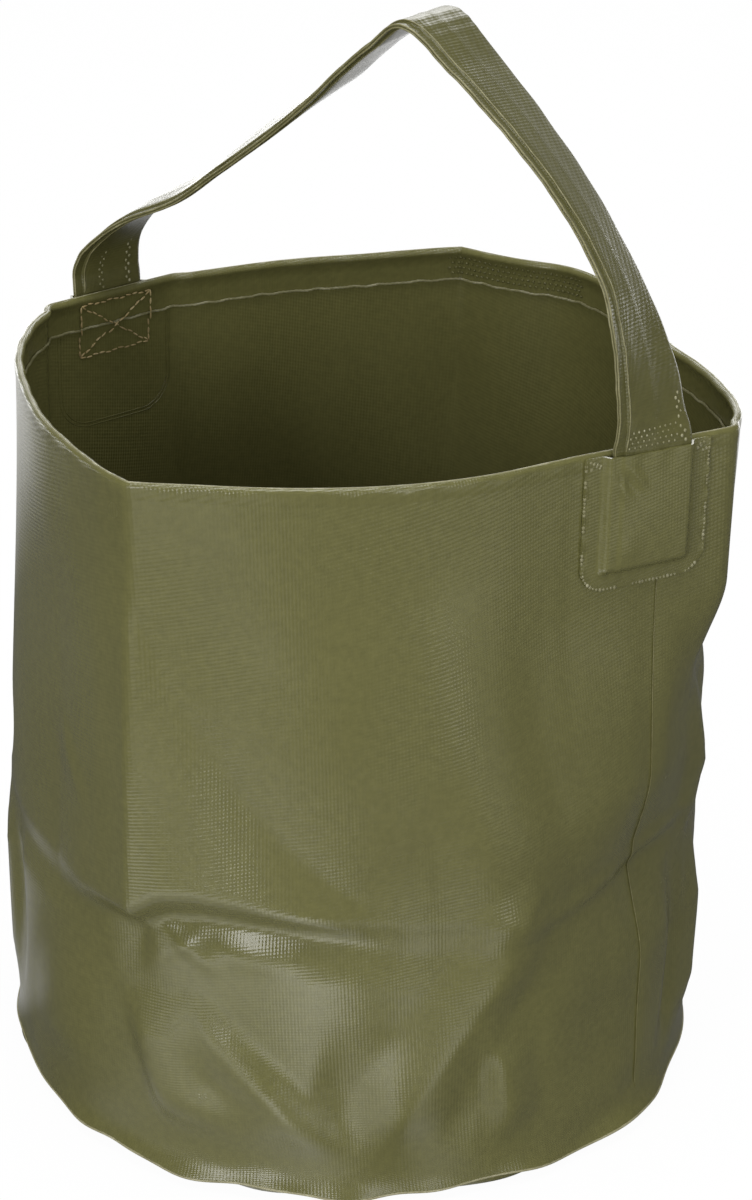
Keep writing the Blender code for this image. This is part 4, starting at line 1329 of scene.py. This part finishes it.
@dataclass
class Strap:
    """The covered webbing handle, in one length from tail to tail.

    Attributes:
        tail: How far its ends reach below the rim.
        rise: How high its apex stands over the rim.
        flange: How wide the cover's near flange is.
        bend: How far over the rim it bends as the handle swings; not used.
        route: Its middle line as (share of the span, share of the rise, roll in degrees).
    """

    form: BucketForm
    width: float = 0.028
    thickness: float = 0.0028
    tail: float = 0.038
    rise: float = 0.118
    flange: float = 0.003
    bend: float = 0.029
    columns: int = 460
    route: tuple[tuple[float, float, float], ...] = (
        (-0.001, 0.072, -10),
        (0.019, 0.165, 2),
        (0.082, 0.275, 9),
        (0.183, 0.382, 13),
        (0.259, 0.499, 17),
        (0.326, 0.596, 17),
        (0.387, 0.682, 14),
        (0.443, 0.764, 9),
        (0.489, 0.847, 8),
        (0.543, 0.931, 6),
        (0.607, 1.000, 0),
        (0.690, 0.893, -6),
        (0.762, 0.784, -10),
        (0.826, 0.675, -13),
        (0.880, 0.564, -15),
        (0.926, 0.445, -15),
        (0.951, 0.356, -10),
        (0.979, 0.216, 2),
        (0.995, 0.076, 12),
    )

    def root_x(self, side: Side) -> float:
        """Give where the strap's middle line stands at a root."""
        _, _, out, x = self.form.root(side)
        return x + (self.form.gap + 0.0016) / out.x

    def middle_line(self) -> np.ndarray:
        """Give the strap's middle line as (x, z, roll in degrees), evenly spaced."""
        top = self.form.height
        left, right = self.root_x(Side.LEFT), self.root_x(Side.RIGHT)
        low, mid = top - self.tail, top - self.tail / 2
        rolls = {side: facing - at if side is Side.LEFT else at - facing for side, at, facing, _ in self.form.roots}
        arch = [(left + s * (right - left), top + h * self.rise, roll) for s, h, roll in self.route]
        start = [(left, z, rolls[Side.LEFT]) for z in (low, mid, top)]
        end = [(right, z, rolls[Side.RIGHT]) for z in (top, mid, low)]
        knots = np.array(start + arch + end)
        before = np.vstack([2 * knots[0] - knots[1], knots[:-2]])
        after = np.vstack([knots[2:], 2 * knots[-1] - knots[-2]])
        fine = []
        for a, b, p, n in zip(knots[:-1], knots[1:], before, after):
            for t in np.linspace(0.0, 1.0, 16, endpoint=False):
                square, cube = 2 * p - 5 * a + 4 * b - n, 3 * a - p - 3 * b + n
                fine.append(0.5 * (2 * a + (b - p) * t + square * t**2 + cube * t**3))
        line = np.array([*fine, knots[-1]])
        run = np.concatenate([[0.0], np.cumsum(np.hypot(*np.diff(line[:, :2], axis=0).T))])
        even = np.linspace(0.0, run[-1], self.columns + 1)
        return np.stack([np.interp(even, run, line[:, i]) for i in range(3)], axis=-1)

    def frames(self) -> tuple[np.ndarray, np.ndarray, np.ndarray, float]:
        """Give the strap's middle points, its width and thickness ways there, and its length."""
        line = self.middle_line()
        way = np.gradient(line[:, :2], axis=0)
        way /= np.linalg.norm(way, axis=1, keepdims=True)
        above = np.stack([-way[:, 1], np.zeros(len(way)), way[:, 0]], axis=-1)
        roll = np.radians(line[:, 2])[:, None]
        level = np.array([[0.0, 1.0, 0.0]])
        across = level * np.cos(roll) + above * np.sin(roll)
        thick = above * np.cos(roll) - level * np.sin(roll)
        middle = np.stack([line[:, 0], np.zeros(len(line)), line[:, 1]], axis=-1)
        return middle, across, thick, float(np.hypot(*np.diff(line[:, :2], axis=0).T).sum())

    def section(self) -> np.ndarray:
        """Give the cover's outline as (across, thick) points: a folded far edge and a near flange."""
        half, rise = self.width / 2, self.thickness / 2
        turns = np.linspace(-math.pi / 2, math.pi / 2, 9)
        fold = [(half - rise * (1 - math.cos(t)), rise * math.sin(t)) for t in turns]
        weld = -half + self.flange
        top = [(0.008, 1.02), (0.002, 1.02), (0.0008, 1.1), (-0.0002, 1.04), (-0.006, 1.0)]
        step = [(weld + 0.0014, 0.98), (weld + 0.0004, 0.8), (weld, 0.42), (-half, 0.46)]
        near = [(-half, -0.46), (weld, -0.42), (weld + 0.0004, -0.8)]
        bottom = [(weld + 0.0016, -0.98), (-0.006, -1.02), (0.0, -1.04), (0.006, -1.02)]
        upper, lower = ([(a, share * rise) for a, share in part] for part in (top + step, near + bottom))
        return np.array([*fold, *upper, (-half - 0.0001, 0.0001), *lower])

    @staticmethod
    def puckers(run: np.ndarray, across: np.ndarray, length: float) -> np.ndarray:
        """Give the small wrinkles of the cover: soft ones all along and tight ones at the apex fold."""
        off = run - 0.56 * length
        fine = 0.00012 * np.exp(-(((off + 0.004) / 0.006) ** 2)) * np.sin(off * 1500)
        return fine + 0.00005 * np.sin(run * 190 + across * 120) + 0.00008 * np.sin(run * 77 + 1.0)

    def cover(self) -> bpy.types.Object:
        """Build the cover and give it."""
        middle, across, thick, length = self.frames()
        outline = self.section()
        count = len(outline)

        def place(u: np.ndarray, v: np.ndarray) -> np.ndarray:
            at = np.rint(u * self.columns).astype(int)
            a, b = outline[np.rint(v * count).astype(int) % count].T
            run = u * length
            free = np.minimum(run, length - run) > self.tail
            swell = np.where(free, self.puckers(run, a, length), 0.0) * np.sign(b)
            edge = 0.0002 * np.sin(run * 330 + np.sign(a)) * (np.abs(a) > 0.011) * free
            return middle[at] + (a + edge)[:, None] * across[at] + (b + swell)[:, None] * thick[at]

        piece = sleeve("strap_cover", self.columns, count, place, 35.0)
        around = float(np.hypot(*(np.roll(outline, -1, axis=0) - outline).T).sum())
        dress(piece, STRAP_SHEET, "strap_coated_sheet", (length, around))
        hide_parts("left_root_cover", "handle_cover", "right_root_cover")
        return self.swung(piece)

    def cut_edges(self) -> bpy.types.Object:
        """Build the bright raw edges along the near flange, and its weld's, and give them as one piece."""
        middle, across, thick, length = self.frames()
        run = np.linspace(0.0, length, self.columns + 1)
        edge = 0.0002 * np.sin(run * 330 - 1.0) + 0.00008 * np.sin(run * 900)
        under = eased(-np.minimum(run, length - run), -self.tail - 0.002, -self.tail + 0.001)
        brink, weld = -0.00005 - self.width / 2, -self.width / 2 + self.flange + 0.0006
        top = self.thickness / 2 * 0.86
        lines = []
        for off, level, size, sinks in (
            (brink, 0.00045, 0.0003, 0.0),
            (brink, -0.00045, 0.0003, 0.0),
            (weld, top, 0.00024, 0.6),
            (weld, -top, 0.00024, 0.6),
        ):
            path = middle + (off + edge)[:, None] * across + (level * (1.0 - sinks * under))[:, None] * thick
            lines.append(bar(f"strap_edge_{len(lines)}", path, (across, thick), size, 6, 70.0, ring=False))
        return self.swung(dress(joined("strap_cut_edges", lines), STRAP_EDGE, "strap_raw_edge"))

    def root_welds(self) -> bpy.types.Object:
        """Build the pressed dots and the zigzag weld beads on the strap just over the rim."""
        middle, across, thick, _ = self.frames()
        dots = [
            (Side.RIGHT, -0.0098 + 0.0021 * column + 0.001 * (row % 2), 0.0012 + 0.0017 * row, 0.00032)
            for column, row in product(range(9), range(4))
        ]
        zigzags = (
            (Side.RIGHT, 0.0104, 0.0008, 0.0014, 0.0005),
            (Side.LEFT, -0.0034, 0.0008, 0.0013, 0.0004),
            (Side.LEFT, 0.0081, 0.0010, 0.0015, 0.0005),
        )
        for i, (side, off, up, step, size) in product(range(11), zigzags):
            dots.append((side, off + 0.0006 * (-1) ** i, up + step * i, size))
        half = self.columns // 2
        places = []
        for side, off, up, size in dots:
            z = self.form.height + up
            first, face = (0, -1.0) if side is Side.LEFT else (half, 1.0)
            at = first + int(np.argmin(np.abs(middle[first : first + half, 2] - z)))
            here = middle[at] + off * across[at] + face * self.thickness / 2 * thick[at]
            here[2] = z
            ways = (across[at], np.cross(thick[at], across[at]), thick[at])
            places.append(axes_at(here, ways, (size, size * 1.3, size * 0.7)))
        return self.swung(dress(repeated("strap_weld_dots", places), WELD_AND_CREST_HIGHLIGHT, "strap_weld_bead"))

    def webbing(self) -> bpy.types.Object:
        """Build the woven core inside the cover and give it."""
        middle, across, thick, _ = self.frames()
        far, near, rise = 0.0118, -0.0108, 0.0006
        outline = np.array([(far, -rise), (far, rise), (0.0, rise), (near, rise), (near, -rise), (0.0, -rise)])

        def place(u: np.ndarray, v: np.ndarray) -> np.ndarray:
            at = 1 + np.rint(u * (self.columns - 2)).astype(int)
            side = np.rint(v * len(outline)).astype(int) % len(outline)
            return middle[at] + outline[side, :1] * across[at] + outline[side, 1:] * thick[at]

        piece = sleeve("strap_webbing", self.columns - 2, len(outline), place, 40.0)
        dress(piece, WEBBING, "strap_core_webbing")
        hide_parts("left_root_webbing", "handle_webbing", "right_root_webbing")
        return self.swung(piece)

    def swung(self, piece: bpy.types.Object) -> bpy.types.Object:
        """Bake a piece of the strap's placement into its mesh and give it."""
        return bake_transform(piece)


@dataclass(frozen=True)
class Lamp:
    """One soft studio light, aimed at the bucket's middle."""

    name: str
    azimuth: float
    elevation: float
    distance: float
    size: tuple[float, float]
    power: float

    def hang(self) -> None:
        """Add the light to the scene."""
        data = bpy.data.lights.new(self.name, "AREA")
        data.shape = "RECTANGLE"
        data.size, data.size_y = self.size
        data.energy = self.power
        lamp = bpy.data.objects.new(self.name, data)
        bpy.context.scene.collection.objects.link(lamp)
        turn, lift = math.radians(self.azimuth), math.radians(self.elevation)
        way = Vector((math.cos(turn) * math.cos(lift), math.sin(turn) * math.cos(lift), math.sin(lift)))
        lamp.location = Vector((0, 0, 0.16)) + way * self.distance
        lamp.rotation_euler = way.to_track_quat("Z", "Y").to_euler()


@dataclass(frozen=True)
class Sector:
    """A lit sector of the floor, which only reflections see.

    Attributes:
        turns: Degrees at which it starts, is full, is still full and ends.
        reach: Distances from the middle at which it starts, is full, is still full and ends.
        strength: Its brightness.
    """

    turns: tuple[float, float, float, float]
    reach: tuple[float, float, float, float]
    strength: float


@dataclass(frozen=True)
class Pool:
    """A round pool of light on the floor, which only reflections see."""

    centre: tuple[float, float]
    full: float = 0.02
    end: float = 0.04
    strength: float = 0.55


@dataclass
class Studio:
    """The pale floor, the white surroundings, the soft lights and the camera.

    Attributes:
        backdrop: The way to the white backdrop behind the bucket, in degrees.
        behind: Where the floor brightens behind the bucket, as (start, end, strength).
        dark_floor: How bright the rest of the floor is to reflections.
        floor_grey: The floor's colour as it takes light and shadow.
        floor_shown: How bright it looks to the camera.
        floor_glow: The share of its look that is that glow.
        sky_light: How strongly the white surroundings light the bucket.
        apron: How bright the floor is to reflections close before the bucket.
    """

    backdrop: float = 128.8
    behind: tuple[tuple[float, float, float], ...] = ((0.32, 0.58, 1.1), (0.75, 1.1, 3.4))
    dark_floor: float = 0.12
    floor_grey: float = 0.42
    floor_shown: float = 1.04
    floor_glow: float = 0.93
    sky_light: float = 0.48
    apron: float = 4.6
    sectors: tuple[Sector, ...] = (
        Sector((-88.0, -80.0, -60.0, -52.0), (0.5, 0.56, 0.76, 0.9), 1.3),
        Sector((-22.0, -12.0, 10.0, 20.0), (0.62, 0.78, 1.2, 1.4), 1.0),
    )
    pools: tuple[Pool, ...] = (Pool((-0.18, -0.07)), Pool((-0.12, -0.072)))
    lamps: tuple[Lamp, ...] = (
        Lamp("left_softbox", -80.0, 12.0, 1.55, (0.55, 0.85), 10.8),
        Lamp("right_softbox", -26.0, 13.0, 1.55, (0.6, 0.9), 5.4),
        Lamp("top_softbox", -51.0, 82.0, 1.5, (0.9, 0.9), 15.0),
        Lamp("back_softbox", 125.0, 28.0, 1.9, (1.2, 0.7), 8.0),
    )

    def floor(self) -> None:
        """Lay the floor, which shows nearly white and keeps a faint shadow."""
        bpy.ops.object.select_all(action="DESELECT")
        bpy.ops.mesh.primitive_plane_add(size=8.0, location=(0, 0, -0.0004))
        ground = bpy.context.active_object
        ground.name = "ground"
        made = bpy.data.materials.new("pale_floor")
        made.use_nodes = True
        made.node_tree.nodes.clear()
        nodes = Nodes(made.node_tree)
        seen = nodes.add("ShaderNodeLightPath")
        camera, glossy = seen.outputs["Is Camera Ray"], seen.outputs["Is Glossy Ray"]
        mirrored = nodes.math("MULTIPLY", glossy, nodes.math("MAXIMUM", self.lit_floor(nodes), self.dark_floor))
        strength = nodes.math("ADD", nodes.math("MULTIPLY", camera, self.floor_shown), mirrored)
        glow = nodes.add("ShaderNodeEmission", {"Color": WHITE, "Strength": strength})
        diffuse = nodes.add("ShaderNodeBsdfDiffuse", {"Color": (*[self.floor_grey] * 3, 1.0)})
        share = nodes.math("MULTIPLY", nodes.math("MAXIMUM", camera, glossy), self.floor_glow)
        mix = nodes.add("ShaderNodeMixShader", {0: share, 1: diffuse.outputs[0], 2: glow.outputs[0]})
        nodes.add("ShaderNodeOutputMaterial", {"Surface": mix.outputs[0]})
        ground.data.materials.append(made)

    def towards_backdrop(self, nodes: Nodes, way: bpy.types.NodeSocket) -> bpy.types.NodeSocket:
        """Give how far a vector reaches towards the backdrop."""
        turn = math.radians(self.backdrop)
        return nodes.vector("DOT_PRODUCT", way, (math.cos(turn), math.sin(turn), 0.0)).outputs["Value"]

    def lit_floor(self, nodes: Nodes) -> bpy.types.NodeSocket:
        """Give how brightly reflections see each point of the floor."""
        where = nodes.add("ShaderNodeTexCoord").outputs["Object"]
        place = nodes.add("ShaderNodeSeparateXYZ", {0: where})
        turn = nodes.math("ARCTAN2", place.outputs[1], place.outputs[0])
        away = nodes.vector("LENGTH", where).outputs["Value"]
        far = self.towards_backdrop(nodes, where)
        lights = [nodes.ramp(far, start, end, 0.0, strength) for start, end, strength in self.behind]
        lights.append(self.lit_apron(nodes, turn, away))
        for sector in self.sectors:
            sides = []
            for value, (start, full, still, end) in ((turn, np.radians(sector.turns).tolist()), (away, sector.reach)):
                sides += [nodes.ramp(value, start, full), nodes.ramp(value, end, still)]
            lights.append(nodes.math("MULTIPLY", sector.strength, *sides))
        for pool in self.pools:
            off = nodes.vector("DISTANCE", where, (*pool.centre, 0.0)).outputs["Value"]
            lights.append(nodes.ramp(off, pool.end, pool.full, 0.0, pool.strength))
        return nodes.math("ADD", *lights)

    def lit_apron(
        self, nodes: Nodes, turn: bpy.types.NodeSocket, away: bpy.types.NodeSocket
    ) -> bpy.types.NodeSocket:
        """Give how brightly reflections see the lit floor close before the bucket.

        Args:
            nodes: The floor's nodes.
            turn: The angle round the bucket at each point.
            away: The distance from its middle.

        Returns:
            The brightness at each point.
        """

        def fade(start: float, end: float, low: float = 0.0) -> bpy.types.NodeSocket:
            return nodes.ramp(turn, math.radians(start), math.radians(end), low)

        front = nodes.math("ABSOLUTE", nodes.math("ADD", turn, math.radians(45.0)))
        parts = (
            nodes.ramp(away, 0.38, 0.31),
            nodes.ramp(away, 0.17, 0.27, 0.3),
            fade(-25.0, -40.0),
            fade(-112.0, -97.0),
            nodes.ramp(front, math.radians(3.0), math.radians(11.0), 0.1),
            nodes.math("MAXIMUM", fade(-72.0, -59.0, 0.42), nodes.ramp(away, 0.27, 0.34)),
        )
        return nodes.math("MULTIPLY", self.apron, *parts)

    def surroundings(self) -> None:
        """Make the world white to the camera and in reflections, and dimmer as a light."""
        world = bpy.data.worlds.new("white_studio")
        bpy.context.scene.world = world
        world.use_nodes = True
        world.node_tree.nodes.clear()
        nodes = Nodes(world.node_tree)
        seen = nodes.add("ShaderNodeLightPath").outputs
        shown = nodes.math("MAXIMUM", seen["Is Camera Ray"], seen["Is Transmission Ray"])
        ahead = self.towards_backdrop(nodes, nodes.add("ShaderNodeTexCoord").outputs["Generated"])
        glossy = nodes.math("MULTIPLY", seen["Is Glossy Ray"], nodes.ramp(ahead, 0.64, 0.94, 0.08))
        lighting = nodes.math("MULTIPLY", seen["Is Diffuse Ray"], self.sky_light)
        strength = nodes.math("MAXIMUM", shown, glossy, lighting)
        sky = nodes.add("ShaderNodeBackground", {"Color": WHITE, "Strength": strength})
        nodes.add("ShaderNodeOutputWorld", {"Surface": sky.outputs[0]})

    def camera(self) -> None:
        """Set the camera at the photograph's angle."""
        data = bpy.data.cameras.new("photo_view")
        data.sensor_fit = "VERTICAL"
        data.sensor_height = SENSOR
        data.lens = SENSOR * FOCAL_PIXELS / PHOTO_HEIGHT
        data.clip_start = 0.05
        view = bpy.data.objects.new("photo_view", data)
        bpy.context.scene.collection.objects.link(view)
        azimuth, distance, height = math.radians(38.8), 0.90, 0.577
        heading, tilt, roll = math.radians(38.8 - 0.4), math.radians(90.0 - 24.7), math.radians(1.05)
        place = Matrix.Translation((distance * math.sin(azimuth), -distance * math.cos(azimuth), height))
        turned = Matrix.Rotation(heading, 4, "Z") @ Matrix.Rotation(tilt, 4, "X") @ Matrix.Rotation(roll, 4, "Z")
        view.matrix_world = place @ turned
        bpy.context.scene.camera = view

    def build(self) -> None:
        """Set the whole studio."""
        self.floor()
        self.surroundings()
        for lamp in self.lamps:
            lamp.hang()
        self.camera()
        bpy.context.scene.view_settings.view_transform = "Standard"


def main() -> None:
    """Build the bucket's pieces around the frame, then the studio."""
    logging.basicConfig(level=logging.INFO)
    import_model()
    weave_group()
    tone_group()
    Base(FORM).build()
    wall, rim, strap = Wall(FORM), Rim(FORM), Strap(FORM)
    for step in (wall.build, wall.seam_edge, wall.foot_edge):
        step()
    for step in (rim.core, rim.build, rim.weld_line, rim.crest_line, rim.press_dots):
        step()
    for side in Side:
        patch = Patch(FORM, side)
        wall.imprint(side)
        for step in (patch.build, patch.welds, patch.stitches):
            step()
    for step in (strap.webbing, strap.cover, strap.cut_edges, strap.root_welds):
        step()
    Studio().build()


if __name__ == "__main__":
    main()
